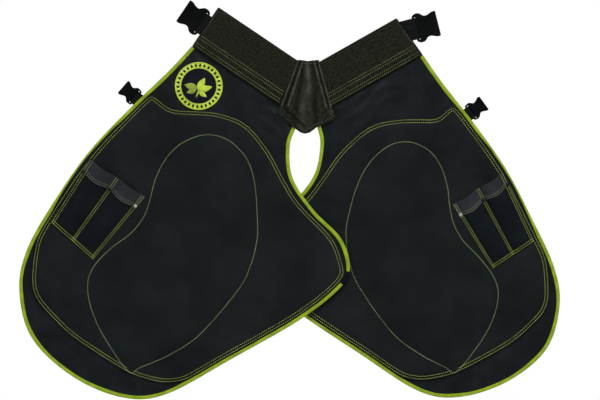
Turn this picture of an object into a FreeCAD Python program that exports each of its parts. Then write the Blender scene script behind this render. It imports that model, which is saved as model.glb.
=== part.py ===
"""Split-leg protective work apron (chaps), as an assembly of its sewn and moulded pieces.

Frame: X to the wearer's left as seen from the front, Z up, front towards -Y.
The origin is the middle of the top edge of the centre gusset.
Each side is drawn flat in its own frame: u outwards along the lower seam of the waistband,
v down the leg, w to the front. place() turns that frame into the row frame.
"""
import FreeCAD, Part
import math
import os

V = FreeCAD.Vector

# Waist
BAND_HEIGHT = 87.0
BAND_LAYER = 2.0          # outer layer and lining of the waistband
BAND_CORE = 3.0           # elastic core between them
BAND_TUCK = 8.0           # how far a band's inner end runs in under the gusset
TAPE_HEIGHT = 27.0
TAPE_LAYER = 1.4
GUSSET_LAYER = 2.0
GUSSET = [
    (-19.4, 0.0), (0.0, -2.4), (20.2, 0.0), (38.9, -88.8), (51.8, -109.2), (16.7, -124.0),
    (-5.6, -136.9), (-27.8, -124.0), (-57.4, -98.0), (-50.9, -85.1),
]

# Legs, as cut for the left side
LEG_EDGE = [
    (198.5, 0.0), (208.1, 61.8), (230.3, 166.5), (246.6, 268.4), (248.8, 375.4),
    (240.7, 479.9), (210.7, 551.5), (143.4, 611.4), (43.3, 629.4), (-55.5, 611.1),
    (-121.2, 560.9), (-185.9, 438.3), (-250.7, 306.4), (-278.6, 218.3), (-273.2, 177.2),
    (-229.6, 141.3), (-156.7, 125.6), (-92.7, 98.6), (-55.5, 53.5), (-44.6, 17.4),
]
OVERLAY_TOP = [
    (290.0, 96.0), (214.4, 112.4), (168.4, 117.4), (136.5, 101.2), (90.1, 75.1), (34.2, 63.0),
    (-28.1, 80.4), (-80.7, 107.6), (-132.1, 130.0), (-214.6, 148.3), (-259.0, 177.9),
    (-320.0, 235.0),
]
OVERLAY_FOOT = [
    (300.0, 360.0), (262.0, 405.0), (246.0, 428.0), (230.5, 472.5), (203.0, 524.0),
    (180.0, 546.5), (145.0, 558.4), (88.6, 569.0), (31.1, 570.0), (-38.3, 567.3),
    (-76.0, 558.3), (-110.0, 544.2), (-140.0, 518.0), (-190.0, 470.0),
]
PAD_EDGE = [
    (85.5, 118.8), (118.0, 170.6), (115.8, 244.9), (95.6, 311.0), (98.1, 349.7),
    (120.4, 438.8), (80.5, 506.5), (-20.0, 552.0), (-86.2, 496.5), (-124.5, 326.0),
    (-101.6, 230.3), (-49.4, 157.3), (18.9, 106.7), (52.9, 106.9),
]
BASE_LAYER = 1.5
OVERLAY_LAYER = 2.0
PAD_LAYER = 3.0
BINDING_WIDTH = 8.0
BINDING_WALL = 1.0
SPREAD_FOOT = 400.0       # v below which a side's outer half isn't spread
REST_LEAN = 1.5           # degrees that the front leg leans forward and the back leg backward
LEG_SWING = 60.0

# Tool pocket, two slots side by side
POCKET_TOP = 279.0
POCKET_BOTTOM = 425.0
POCKET_INNER = (115.0, 129.5)      # u of its inner side at the top and at the bottom
POCKET_OUTER = (238.0, 232.0)
POCKET_SLOT_DEPTH = 9.0
POCKET_LAYER = 1.5
POCKET_SEAM = 13.5                 # flat sewn strip along each side, the divider and the foot
HEM_HEIGHT = 30.0
HEM_LAYER = 1.4
RIVET_HEAD = 6.0
RIVET_HEAD_HIGH = 1.4
RIVET_SHANK = 3.0

# Badge and label on the left leg
BADGE_AT = (149.5, 55.9)
BADGE_RADIUS = 45.0
BADGE_RING = 11.0
BADGE_LAYER = 1.0
BADGE_RAISE = 0.6
LABEL_AT = (-279.0, 196.0)
LABEL_TALL = 28.0
LABEL_WIDE = 12.0
LABEL_WALL = 0.8

# Side-release buckles, socket halves, on short loops of webbing
WEB_WAIST = 40.0
WEB_THIGH = 25.0
WEB_LAYER = 1.4
WAIST_BUCKLE = {"long": 45.0, "mouth": 46.0, "flare": 53.0, "thick": 12.0, "bar": 2.0}
THIGH_BUCKLE = {"long": 33.0, "mouth": 29.0, "flare": 33.5, "thick": 10.0, "bar": 1.8}
BUCKLE_WALL = 2.0
WEB_REACH = 7.0           # from the sewn edge to the buckle's bar
WEB_TAIL = 18.0           # sewn in

# Clearances
FREE = 0.3                # between bodies that move past one another
TIP_FREE = 3.0            # round the gusset's rounded tip, which stays while the legs swing
SNUG = 0.1                # between pieces sewn or riveted together
PIN = 0.05                # radial, round a rivet's shank
WEB_EASE = 0.3            # radial, between the webbing and the buckle's bar

LEFT = {
    "name": "left", "hand": 1, "splay": 34.0, "at": (-49.95, -85.1), "lean": REST_LEAN,
    "out": 1.0, "in": 1.0, "down": 1.0, "spread": 0.0, "slope": 0.0,
    "waist_v": -45.0, "waist_turn": 0.0,
    "thigh_v": 137.8, "thigh_turn": -6.9,
}
RIGHT = {
    "name": "right", "hand": -1, "splay": 29.5, "at": (42.55, -86.95), "lean": -REST_LEAN,
    "out": 0.89, "in": 0.97, "down": 0.96, "spread": 0.047, "slope": 9.0,
    "waist_v": -49.0, "waist_turn": 15.3,
    "thigh_v": 136.5, "thigh_turn": -7.0,
}

# Levels in w, from back to front
BASE_FRONT = BASE_LAYER / 2
OVERLAY_FRONT = BASE_FRONT + OVERLAY_LAYER
BINDING_BACK = -BASE_FRONT - BINDING_WALL
BINDING_FRONT = BASE_FRONT + BINDING_WALL
BAND_FRONT = BAND_CORE / 2 + BAND_LAYER
POCKET_FRONT = OVERLAY_FRONT + POCKET_SLOT_DEPTH + POCKET_LAYER


def lie(side, points):
    """Points of the left pattern, in the side's own plane as that side lies.

    A side's outer half may be spread, more and more towards the waistband.
    """
    out = []
    for u, v in points:
        share = side["out"] if u > 0 else side["in"]
        turn = min(max((u + 90.0) / 150.0, 0.0), 1.0)
        spread = side["spread"] * max(SPREAD_FOOT - v, 0.0) * turn * turn * (3 - 2 * turn)
        out.append((side["hand"] * (share * u + spread), side["down"] * v))
    return out


def place(shape, side, lean=0.0):
    """From a side's plane to the row frame, leant about the seam under the waistband."""
    turn = math.radians(side["splay"])
    c, s, hand = math.cos(turn), math.sin(turn), side["hand"]
    matrix = FreeCAD.Matrix(
        -c, -hand * s, 0, side["at"][0],
        0, 0, -1, 0,
        hand * s, -c, 0, side["at"][1],
        0, 0, 0, 1,
    )
    done = shape.copy()
    done.rotate(V(0, 0, 0), V(1, 0, 0), lean)
    done.transformShape(matrix, True)
    return done


def to_side(side, x, z):
    """A point of the row frame as u, v of a side."""
    turn = math.radians(side["splay"])
    dx, dz = x - side["at"][0], z - side["at"][1]
    out = side["hand"] * -dx
    return (
        out * math.cos(turn) + dz * math.sin(turn),
        out * math.sin(turn) - dz * math.cos(turn),
    )


def curve(points, closed=False):
    spline = Part.BSplineCurve()
    spline.interpolate(Points=[V(x, y, 0) for x, y in points], PeriodicFlag=closed)
    return spline


def inset(points, by, closed=False):
    """The points moved square to their curve, to the inside of the shape they go round."""
    spline = curve(points, closed)
    twice = sum(
        a[0] * b[1] - b[0] * a[1] for a, b in zip(points, points[1:] + points[:1])
    )
    inward = 1 if twice > 0 else -1
    moved = []
    for x, y in points:
        along = spline.tangent(spline.parameter(V(x, y, 0)))[0]
        moved.append((x - inward * along.y * by, y + inward * along.x * by))
    return moved


def outline(points, corners=()):
    """A face between a curve and straight lines through the corners, back to its start."""
    edges = [curve(points).toShape()]
    stops = [points[-1]] + list(corners) + [points[0]]
    for a, b in zip(stops, stops[1:]):
        edges.append(Part.makeLine(V(a[0], a[1], 0), V(b[0], b[1], 0)))
    return Part.Face(Part.Wire(edges))


def slab(face, low, high):
    moved = face.copy()
    moved.translate(V(0, 0, low))
    return moved.extrude(V(0, 0, high - low))


def polygon(points):
    return Part.Face(Part.makePolygon([V(x, y, 0) for x, y in list(points) + [points[0]]]))


def block(low, high):
    size = V(*high) - V(*low)
    return Part.makeBox(size.x, size.y, size.z, V(*low))


def solid(shape):
    clean = shape.removeSplitter()
    return clean.Solids[0] if len(clean.Solids) == 1 else Part.makeCompound(clean.Solids)


# Waist

def gusset_face():
    """Straight sides along the bands, and a rounded tip over the tops of the legs."""
    top, right_foot, left_foot = GUSSET[:3], GUSSET[3], GUSSET[-1]
    tip = curve(GUSSET[4:-1]).toShape()
    edges = [curve(top).toShape()]
    stops = [(top[-1], right_foot), (right_foot, GUSSET[4]), (GUSSET[-2], left_foot),
             (left_foot, top[0])]
    for a, b in stops:
        edges.append(Part.makeLine(V(a[0], a[1], 0), V(b[0], b[1], 0)))
    edges.append(tip)
    return Part.Face(Part.Wire(Part.__sortEdges__(edges)))


def gusset_layer(low, high):
    done = slab(gusset_face(), low, high)
    matrix = FreeCAD.Matrix(1, 0, 0, 0, 0, 0, -1, 0, 0, 1, 0, 0, 0, 0, 0, 1)
    done.transformShape(matrix, True)
    return done


def band_end(side, v):
    """u of the waistband's outer end at a height v; the end may lean in towards its top."""
    return side["hand"] * lie(side, LEG_EDGE[:1])[0][0] + side["slope"] * v / BAND_HEIGHT


def band_inner(side, v):
    """u of the gusset's side edge, at a height v of the band."""
    top = GUSSET[0] if side["hand"] > 0 else GUSSET[2]
    foot = GUSSET[-1] if side["hand"] > 0 else GUSSET[3]
    ut, vt = to_side(side, *top)
    uf, vf = to_side(side, *foot)
    return uf + (ut - uf) * (v - vf) / (vt - vf)


def band_face(side, top, bottom, tuck, short=0.0):
    corners = [
        (band_inner(side, bottom) - tuck, bottom), (band_end(side, bottom) - short, bottom),
        (band_end(side, top) - short, top), (band_inner(side, top) - tuck, top),
    ]
    return polygon([(side["hand"] * u, v) for u, v in corners])


def waistband(side):
    high = -BAND_HEIGHT * side["down"]
    full = band_face(side, high, 0.0, BAND_TUCK)
    slant = math.sin(math.radians(side["waist_turn"])) * WEB_WAIST / 2
    slant += side["slope"] / BAND_HEIGHT * WEB_WAIST / 2
    core = band_face(side, high, 0.0, BAND_TUCK, WEB_TAIL + SNUG + slant)
    tape = band_face(side, -TAPE_HEIGHT * side["down"], 0.0, -SNUG)
    name = side["name"]
    half = BAND_CORE / 2
    return {
        name + "_waistband_outer": place(slab(full, half, BAND_FRONT), side),
        name + "_waistband_core": place(slab(core, -half, half), side),
        name + "_waistband_lining": place(slab(full, -BAND_FRONT, -half), side),
        name + "_waistband_tape": place(slab(tape, BAND_FRONT, BAND_FRONT + TAPE_LAYER), side),
    }


# Legs

def tip_clear(side):
    """How far out and down the gusset's tip reaches over this leg."""
    below = [p for p in (to_side(side, *q) for q in GUSSET[3:]) if p[1] > 0]
    return max(p[0] for p in below) + TIP_FREE, max(p[1] for p in below) + TIP_FREE


def seam_clear(side, front):
    """What a leg leaves free under the band and round the gusset's tip, so that it can swing.

    front is how far its face stands off the hinge line.
    """
    swing = math.radians(LEG_SWING + REST_LEAN)
    start = (FREE + front * math.sin(swing)) / math.cos(swing)
    reach = 400.0
    under = block((-reach, -reach, -reach), (reach, start, reach))
    u, v = tip_clear(side)
    ends = sorted([side["hand"] * u, -side["hand"] * reach])
    return under.fuse(block((ends[0], -reach, -reach), (ends[1], v, reach)))


def leg_edge(side):
    return lie(side, LEG_EDGE)


def leg_base(side):
    edge = inset(leg_edge(side), BINDING_WALL)
    return slab(outline(edge, [(0, 0)]), -BASE_FRONT, BASE_FRONT).cut(
        seam_clear(side, BASE_FRONT)
    )


def leg_binding(side):
    """A folded strip over the edge of the base panel, all the way round below the band."""
    outer, inner = leg_edge(side), inset(leg_edge(side), BINDING_WIDTH)
    edges = [
        curve(outer).toShape(), curve(inner).toShape(),
        Part.makeLine(V(*outer[0], 0), V(*inner[0], 0)),
        Part.makeLine(V(*outer[-1], 0), V(*inner[-1], 0)),
    ]
    strip = Part.Face(Part.Wire(Part.__sortEdges__(edges)))
    return slab(strip, BINDING_BACK, BINDING_FRONT).cut(leg_base(side)).cut(
        seam_clear(side, BINDING_FRONT)
    )


def pad_face(side, grow):
    return Part.Face(Part.Wire([
        curve(inset(lie(side, PAD_EDGE), -grow, closed=True), closed=True).toShape()
    ]))


def leg_pad(side):
    return slab(pad_face(side, -SNUG), BASE_FRONT, BASE_FRONT + PAD_LAYER)


def overlay_field(side, low, high):
    """Inside the binding, below the overlay's top seam and above its foot seam."""
    inside = inset(leg_edge(side), BINDING_WIDTH + SNUG)
    field = slab(outline(inside, [(0, 0)]), low, high)
    for seam, beyond in ((OVERLAY_TOP, 800.0), (OVERLAY_FOOT, -200.0)):
        line = lie(side, seam)
        ends = [(line[-1][0], beyond), (line[0][0], beyond)]
        field = field.common(slab(outline(line, ends), low, high))
    return field


def leg_overlay(side):
    flat = overlay_field(side, BASE_FRONT, OVERLAY_FRONT)
    raised = slab(pad_face(side, OVERLAY_LAYER), BASE_FRONT, OVERLAY_FRONT + PAD_LAYER)
    hollow = slab(pad_face(side, 0.0), BASE_FRONT, BASE_FRONT + PAD_LAYER)
    return flat.fuse(raised).cut(hollow)


# Tool pocket

def pocket_sides(side, v):
    """u of the pocket's inner side, middle and outer side, at a height v of the pattern."""
    share = (v - POCKET_TOP) / (POCKET_BOTTOM - POCKET_TOP)
    inner = POCKET_INNER[0] + share * (POCKET_INNER[1] - POCKET_INNER[0])
    outer = POCKET_OUTER[0] + share * (POCKET_OUTER[1] - POCKET_OUTER[0])
    return inner, (inner + outer) / 2, outer


def pocket_field(side, top, bottom):
    a, _, b = pocket_sides(side, top)
    c, _, d = pocket_sides(side, bottom)
    return polygon(lie(side, [(a, top), (b, top), (d, bottom), (c, bottom)]))


def pocket_lane(side, outer, bottom, grow):
    """One slot's floor plan, open past the pocket's top, grown at its sides and its foot."""
    top, foot = POCKET_TOP - 10.0, bottom + grow
    corners = []
    for v in (top, foot):
        inner_u, middle, outer_u = pocket_sides(side, v)
        low = middle + POCKET_SEAM / 2 if outer else inner_u + POCKET_SEAM
        high = outer_u - POCKET_SEAM if outer else middle - POCKET_SEAM / 2
        corners.append((low - grow, high + grow))
    (a, b), (c, d) = corners
    return polygon(lie(side, [(a, top), (b, top), (d, foot), (c, foot)]))


def pocket_hump(side, bottom, grow, high):
    """The sewn strips lying flat and the two slots standing out from them, as one solid."""
    flange = OVERLAY_FRONT + POCKET_LAYER + high
    field = slab(pocket_field(side, POCKET_TOP, bottom), OVERLAY_FRONT, POCKET_FRONT + high)
    shape = slab(pocket_field(side, POCKET_TOP, bottom), OVERLAY_FRONT, flange)
    for outer in (False, True):
        foot = POCKET_BOTTOM - POCKET_SEAM
        lane = slab(pocket_lane(side, outer, foot, grow), OVERLAY_FRONT, POCKET_FRONT + high)
        shape = shape.fuse(lane.common(field))
    return shape


def rivet_spots(side):
    v = POCKET_TOP + HEM_HEIGHT - RIVET_HEAD
    inner, middle, outer = pocket_sides(side, v)
    spots = [(inner + POCKET_SEAM / 2, v), (middle, v), (outer - POCKET_SEAM / 2, v)]
    return lie(side, spots)


def rivet(x, y):
    """A domed head on a shank that goes down through the hem and the pocket's sewn strip."""
    top = OVERLAY_FRONT + POCKET_LAYER + HEM_LAYER
    shank = Part.makeCylinder(RIVET_SHANK / 2, top - OVERLAY_FRONT, V(x, y, OVERLAY_FRONT))
    radius = (RIVET_HEAD / 2) ** 2 / (2 * RIVET_HEAD_HIGH) + RIVET_HEAD_HIGH / 2
    ball = Part.makeSphere(radius, V(x, y, top + RIVET_HEAD_HIGH - radius))
    cup = Part.makeCylinder(RIVET_HEAD / 2, RIVET_HEAD_HIGH, V(x, y, top))
    return shank.fuse(ball.common(cup))


def pocket(side):
    """The pocket's front, and the hem folded over its mouth as a second layer."""
    body = pocket_hump(side, POCKET_BOTTOM, POCKET_LAYER, 0.0)
    bottom = POCKET_TOP + HEM_HEIGHT
    hem = pocket_hump(side, bottom, POCKET_LAYER + HEM_LAYER, HEM_LAYER).cut(body)
    holes = [
        Part.makeCylinder(RIVET_SHANK / 2 + PIN, POCKET_SLOT_DEPTH, V(x, y, OVERLAY_FRONT))
        for x, y in rivet_spots(side)
    ]
    for outer in (False, True):
        foot = POCKET_BOTTOM - POCKET_SEAM
        slot = slab(
            pocket_lane(side, outer, foot, 0.0), OVERLAY_FRONT, POCKET_FRONT - POCKET_LAYER
        )
        body, hem = body.cut(slot), hem.cut(slot)
    drilled = Part.makeCompound(holes)
    return body.cut(drilled), hem.cut(drilled)


# Badge and label

def badge():
    """A round patch with a raised rim, sewn on between the band and the overlay."""
    at = V(BADGE_AT[0], BADGE_AT[1], BASE_FRONT)
    disc = Part.makeCylinder(BADGE_RADIUS, BADGE_LAYER, at)
    at.z += BADGE_LAYER
    rim = Part.makeCylinder(BADGE_RADIUS, BADGE_RAISE, at)
    return disc.fuse(rim.cut(Part.makeCylinder(BADGE_RADIUS - BADGE_RING, BADGE_RAISE, at)))


def label():
    """A tab folded over the binding at the tip of the left leg."""
    u, v = LABEL_AT
    tab = block(
        (u - LABEL_WALL, v - LABEL_TALL / 2, BINDING_BACK - LABEL_WALL),
        (u + LABEL_WIDE, v + LABEL_TALL / 2, BINDING_FRONT + LABEL_WALL),
    )
    inside = slab(outline(leg_edge(LEFT), [(0, 0)]), BINDING_BACK, BINDING_FRONT)
    return tab.cut(inside).cut(overlay_field(LEFT, BASE_FRONT, OVERLAY_FRONT))


# Buckles and their webbing, drawn with a along the strap, b across it and c to the front,
# and the buckle's bar along b through the origin

def web_radius(size):
    return size["bar"] + WEB_EASE + WEB_LAYER


def buckle(size, web):
    """A moulded socket: a bar for the webbing, a closed throat, a mouth and two side windows."""
    reach = web_radius(size)
    root = reach + WEB_LAYER            # free slot in front of the bar
    end = size["long"] - size["bar"]
    half, flare, mouth = size["thick"] / 2, size["flare"] / 2, size["mouth"] / 2
    arm = web / 2 + 1.0
    side = [
        (-size["bar"], arm + 1.5), (root * 0.6, flare), (end * 0.3, flare - 0.6),
        (end * 0.48, mouth - 3.2), (end * 0.68, mouth - 2.4), (end * 0.82, mouth), (end, mouth),
    ]
    edges = [curve(side).toShape(), curve([(a, -b) for a, b in side]).toShape()]
    edges.append(Part.makeLine(V(side[0][0], side[0][1], 0), V(side[0][0], -side[0][1], 0)))
    edges.append(Part.makeLine(V(end, mouth, 0), V(end, -mouth, 0)))
    body = slab(Part.Face(Part.Wire(Part.__sortEdges__(edges))), -half, half)
    body = body.cut(block((-reach, -arm, -half), (root, arm, half)))
    low = block((-reach, -flare, size["bar"]), (0, flare, half))
    body = body.cut(low).cut(low.mirror(V(0, 0, 0), V(0, 0, 1)))
    bar = Part.makeCylinder(size["bar"], 2 * arm, V(0, -arm, 0), V(0, 1, 0))
    body = body.fuse(bar)
    throat = root + 2 * BUCKLE_WALL
    gape = half - BUCKLE_WALL
    inner = mouth - 3.2 - BUCKLE_WALL
    body = body.cut(block((throat, -inner, -gape), (end + 1, inner, gape)))
    for hand in (-1, 1):
        ends = sorted([hand * inner * 0.8, hand * (flare + 1)])
        window = block((end * 0.42, ends[0], -gape * 0.75), (end * 0.74, ends[1], gape * 0.75))
        body = body.cut(window)
    return body


def web_reach(size, turn, slope=0.0):
    """From the sewn edge to the bar, longer where the strap leaves its edge at a slant."""
    return WEB_REACH + (abs(math.sin(math.radians(turn))) + slope) * size["flare"] / 2


def web_loop(size, web, turn, slope=0.0):
    """Webbing folded round the bar, its two ends laid together and sewn in."""
    outer, inner = web_radius(size), size["bar"] + WEB_EASE
    start = -WEB_REACH + 0.5

    def section(radius, half, back):
        arc = Part.Arc(V(0, 0, radius), V(radius, 0, 0), V(0, 0, -radius)).toShape()
        points = [V(0, 0, radius), V(start, 0, half), V(back, 0, half), V(back, 0, -half)]
        points += [V(start, 0, -half), V(0, 0, -radius)]
        keep = [p for i, p in enumerate(points) if i == 0 or p != points[i - 1]]
        lines = [Part.makeLine(a, b) for a, b in zip(keep, keep[1:])]
        return Part.Face(Part.Wire(Part.__sortEdges__([arc] + lines)))

    eye = Part.Face(Part.Wire(Part.__sortEdges__([
        Part.Arc(V(0, 0, inner), V(inner, 0, 0), V(0, 0, -inner)).toShape(),
        Part.makeLine(V(0, 0, inner), V(start, 0, 0)),
        Part.makeLine(V(0, 0, -inner), V(start, 0, 0)),
    ])))
    full = section(outer, WEB_LAYER, -web_reach(size, turn, slope) - WEB_TAIL)
    loop = full.cut(eye).extrude(V(0, web, 0))
    loop.translate(V(0, -web / 2, 0))
    return loop


def strap(side, shape, u, v, turn, w):
    """A piece drawn along a strap, set at a spot of the side's plane."""
    done = shape.copy()
    done.rotate(V(0, 0, 0), V(0, 0, 1), turn)
    if side["hand"] < 0:
        done = done.mirror(V(0, 0, 0), V(1, 0, 0))
    done.translate(V(side["hand"] * u, v, w))
    return done


def thigh_edge(side):
    """u of the leg's outer edge at the thigh strap."""
    spline = curve(leg_edge(side)[:4])
    line = Part.makeLine(V(0, side["thigh_v"], 0), V(side["hand"] * 400, side["thigh_v"], 0))
    return abs(spline.toShape().distToShape(line)[1][0][0].x)


def buckles(side):
    name = side["name"]
    slant, tip, lean = side["waist_turn"], side["thigh_turn"], side["lean"]
    slope = side["slope"] / BAND_HEIGHT
    waist_u = band_end(side, side["waist_v"]) + web_reach(WAIST_BUCKLE, slant, slope)
    waist = (waist_u, side["waist_v"], slant, 0.0)
    thigh_u = thigh_edge(side) + WEB_REACH
    thigh = (thigh_u, side["thigh_v"], tip, BINDING_BACK - WEB_LAYER - SNUG)
    socket = buckle(WAIST_BUCKLE, WEB_WAIST)
    loop = web_loop(WAIST_BUCKLE, WEB_WAIST, slant, slope)
    small, ring = buckle(THIGH_BUCKLE, WEB_THIGH), web_loop(THIGH_BUCKLE, WEB_THIGH, 0.0)
    return {
        name + "_waist_buckle": place(strap(side, socket, *waist), side),
        name + "_waist_web_loop": place(strap(side, loop, *waist), side),
        name + "_thigh_buckle": place(strap(side, small, *thigh), side, lean),
        name + "_thigh_web_loop": place(strap(side, ring, *thigh), side, lean),
    }


def leg(side):
    name, lean = side["name"], side["lean"]
    front, hem = pocket(side)
    rivets = Part.makeCompound([rivet(x, y) for x, y in rivet_spots(side)])
    flat = {
        "_leg_base_panel": leg_base(side),
        "_leg_binding": leg_binding(side),
        "_leg_pad": leg_pad(side),
        "_leg_overlay": leg_overlay(side),
        "_pocket_front": front,
        "_pocket_hem": hem,
        "_pocket_rivets": rivets,
    }
    return {name + key: place(shape, side, lean) for key, shape in flat.items()}


def main():
    nodes = {
        "gusset_front": gusset_layer(BAND_FRONT, BAND_FRONT + GUSSET_LAYER),
        "gusset_lining": gusset_layer(-BAND_FRONT - GUSSET_LAYER, -BAND_FRONT),
    }
    for side in (LEFT, RIGHT):
        nodes.update(waistband(side))
        nodes.update(leg(side))
        nodes.update(buckles(side))
    nodes["left_badge"] = place(badge(), LEFT, LEFT["lean"])
    nodes["left_edge_label"] = place(label(), LEFT, LEFT["lean"])
    os.makedirs("parts", exist_ok=True)
    for name, shape in nodes.items():
        solid(shape).exportStep(os.path.join("parts", name + ".step"))


main()
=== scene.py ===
import math

import bmesh
import bpy
import numpy as np
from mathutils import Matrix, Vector
from mathutils.geometry import delaunay_2d_cdt


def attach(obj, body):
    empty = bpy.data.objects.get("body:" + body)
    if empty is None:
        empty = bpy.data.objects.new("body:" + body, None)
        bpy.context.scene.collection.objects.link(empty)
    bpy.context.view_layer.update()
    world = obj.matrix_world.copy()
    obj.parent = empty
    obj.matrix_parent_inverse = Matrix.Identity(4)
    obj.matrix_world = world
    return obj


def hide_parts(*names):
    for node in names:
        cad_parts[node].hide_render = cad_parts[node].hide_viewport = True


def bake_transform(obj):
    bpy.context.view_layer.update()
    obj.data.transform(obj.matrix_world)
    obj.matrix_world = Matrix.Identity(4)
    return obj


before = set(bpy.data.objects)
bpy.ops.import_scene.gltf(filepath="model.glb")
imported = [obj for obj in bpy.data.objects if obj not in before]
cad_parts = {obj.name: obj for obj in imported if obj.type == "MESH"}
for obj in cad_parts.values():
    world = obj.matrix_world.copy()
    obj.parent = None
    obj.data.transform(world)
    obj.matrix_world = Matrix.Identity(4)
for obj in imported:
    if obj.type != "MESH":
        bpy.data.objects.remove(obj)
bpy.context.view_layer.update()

# ------------------------------------------------------------------ leg base panels
# Each leg is cut from coated nylon canvas, plain woven from thick flat yarn. It is the sheet
# that everything else on the leg is sewn to, and it hangs from the seam under the waistband.

SIDES = {
    "left": {"name": "left", "hand": 1, "splay": 34.0, "at": (-49.95, -85.1), "lean": 1.5,
             "out": 1.0, "in": 1.0, "down": 1.0, "spread": 0.0, "slope": 0.0},
    "right": {"name": "right", "hand": -1, "splay": 29.5, "at": (42.55, -86.95), "lean": -1.5,
              "out": 0.89, "in": 0.97, "down": 0.96, "spread": 0.047, "slope": 9.0},
}
LEG_EDGE = [
    (198.5, 0.0), (208.1, 61.8), (230.3, 166.5), (246.6, 268.4), (248.8, 375.4),
    (240.7, 479.9), (210.7, 551.5), (143.4, 611.4), (43.3, 629.4), (-55.5, 611.1),
    (-121.2, 560.9), (-185.9, 438.3), (-250.7, 306.4), (-278.6, 218.3), (-273.2, 177.2),
    (-229.6, 141.3), (-156.7, 125.6), (-92.7, 98.6), (-55.5, 53.5), (-44.6, 17.4),
]
CANVAS_HALF = 0.75     # half the canvas's thickness, in mm
YARN = 1.5             # mm from yarn to yarn, about twice the real pitch so that it shows


def lie(side, uv):
    """Points of the left leg's pattern, in mm, as this side lies in its own plane. The right
    leg's outer half spreads wider towards the band."""
    uv = np.asarray(uv, float).reshape(-1, 2)
    share = np.where(uv[:, 0] > 0, side["out"], side["in"])
    turn = np.clip((uv[:, 0] + 90) / 150, 0, 1)
    spread = side["spread"] * np.clip(400 - uv[:, 1], 0, None) * turn**2 * (3 - 2 * turn)
    return np.stack([side["hand"] * (share * uv[:, 0] + spread), side["down"] * uv[:, 1]], 1)


def stand(side, xy, w, lean=None):
    """Points of a side's plane, w mm to the front of it, in the row frame in metres."""
    x, y = np.asarray(xy, float).T
    z = np.broadcast_to(np.asarray(w, float), x.shape)
    a = math.radians(side["lean"] if lean is None else lean)
    y, z = y * math.cos(a) - z * math.sin(a), y * math.sin(a) + z * math.cos(a)
    t = math.radians(side["splay"])
    c, s = math.cos(t), math.sin(t)
    across = -c * x - side["hand"] * s * y + side["at"][0]
    up = side["hand"] * s * x - c * y + side["at"][1]
    return np.stack([across, -z, up], 1) / 1000


def smooth(points, step, closed=False):
    """Even points, about step mm apart, along a smooth curve through the given ones."""
    p = np.asarray(points, float)
    first, last = 2 * p[0] - p[1], 2 * p[-1] - p[-2]
    run = np.vstack([p[-1], p, p[0], p[1]]) if closed else np.vstack([first, p, last])
    t = np.linspace(0, 1, 24, endpoint=False)[:, None]
    fine = []
    for a, b, c, d in zip(run, run[1:], run[2:], run[3:]):
        bend = (2 * a - 5 * b + 4 * c - d) * t**2 + (3 * b - a - 3 * c + d) * t**3
        fine.append(0.5 * (2 * b + (c - a) * t + bend))
    fine = np.vstack(fine + [run[-2][None]])
    return even(fine, step, closed)


def even(line, step, closed=False):
    along = np.append(0, np.cumsum(np.linalg.norm(np.diff(line, axis=0), axis=1)))
    count = max(2, round(along[-1] / step))
    marks = np.linspace(0, along[-1], count + 1)[: count if closed else None]
    return np.stack([np.interp(marks, along, line[:, k]) for k in range(line.shape[1])], 1)


def inset(line, by, closed=False):
    """A line moved square to itself, towards the inside of the shape that it goes round."""
    ahead = np.roll(line, -1, 0) - np.roll(line, 1, 0) if closed else np.gradient(line, axis=0)
    ahead = ahead / np.linalg.norm(ahead, axis=1)[:, None]
    x, y = line.T
    turn = np.sign(np.sum(x * np.roll(y, -1) - y * np.roll(x, -1)))
    by = np.broadcast_to(np.asarray(by, float), len(line))[:, None]
    return line + by * turn * np.stack([-ahead[:, 1], ahead[:, 0]], 1)


def inside(rim, points):
    x, y = points.T
    hits = np.zeros(len(points), bool)
    for (ax, ay), (bx, by) in zip(rim, np.roll(rim, -1, 0)):
        if ay != by:
            hits ^= ((ay > y) != (by > y)) & (x < (bx - ax) * (y - ay) / (by - ay) + ax)
    return hits


def away(points, lines):
    """How far each point is from the nearest of the lines."""
    marks = np.vstack(lines)
    least = np.full(len(points), 1e9)
    for i in range(0, len(marks), 200):
        gaps = points[:, None, :] - marks[None, i : i + 200, :]
        least = np.minimum(least, np.sqrt((gaps**2).sum(2)).min(1))
    return least


def cut_cloth(rim, seams, step):
    """A flat net of triangles inside rim, with its points laid along the seams."""
    points, links = [], []
    for line, closed in [(rim, True)] + [(seam, False) for seam in seams]:
        start, n = len(points), len(line)
        points.extend(line)
        links += [(start + i, start + (i + 1) % n) for i in range(n if closed else n - 1)]
    low, high = rim.min(0), rim.max(0)
    rows = np.arange(low[1], high[1], step * 0.866)
    grid = [
        (x + (i % 2) * step / 2, y)
        for i, y in enumerate(rows) for x in np.arange(low[0], high[0], step)
    ]
    grid = np.array(grid)
    grid = grid[inside(rim, grid)]
    grid = grid[away(grid, [rim] + list(seams)) > 0.62 * step]
    everything = [Vector(p) for p in points] + [Vector(p) for p in grid]
    done = delaunay_2d_cdt(everything, links, [], 1, 1e-5)
    xy = np.array([tuple(v) for v in done[0]])
    tris = np.array([f for f in done[2] if len(f) == 3])
    a, b, c = xy[tris[:, 0]], xy[tris[:, 1]], xy[tris[:, 2]]
    area = (b[:, 0] - a[:, 0]) * (c[:, 1] - a[:, 1]) - (b[:, 1] - a[:, 1]) * (c[:, 0] - a[:, 0])
    tris[area < 0] = tris[area < 0][:, ::-1]
    return xy, tris[abs(area) > 1e-4]


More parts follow.
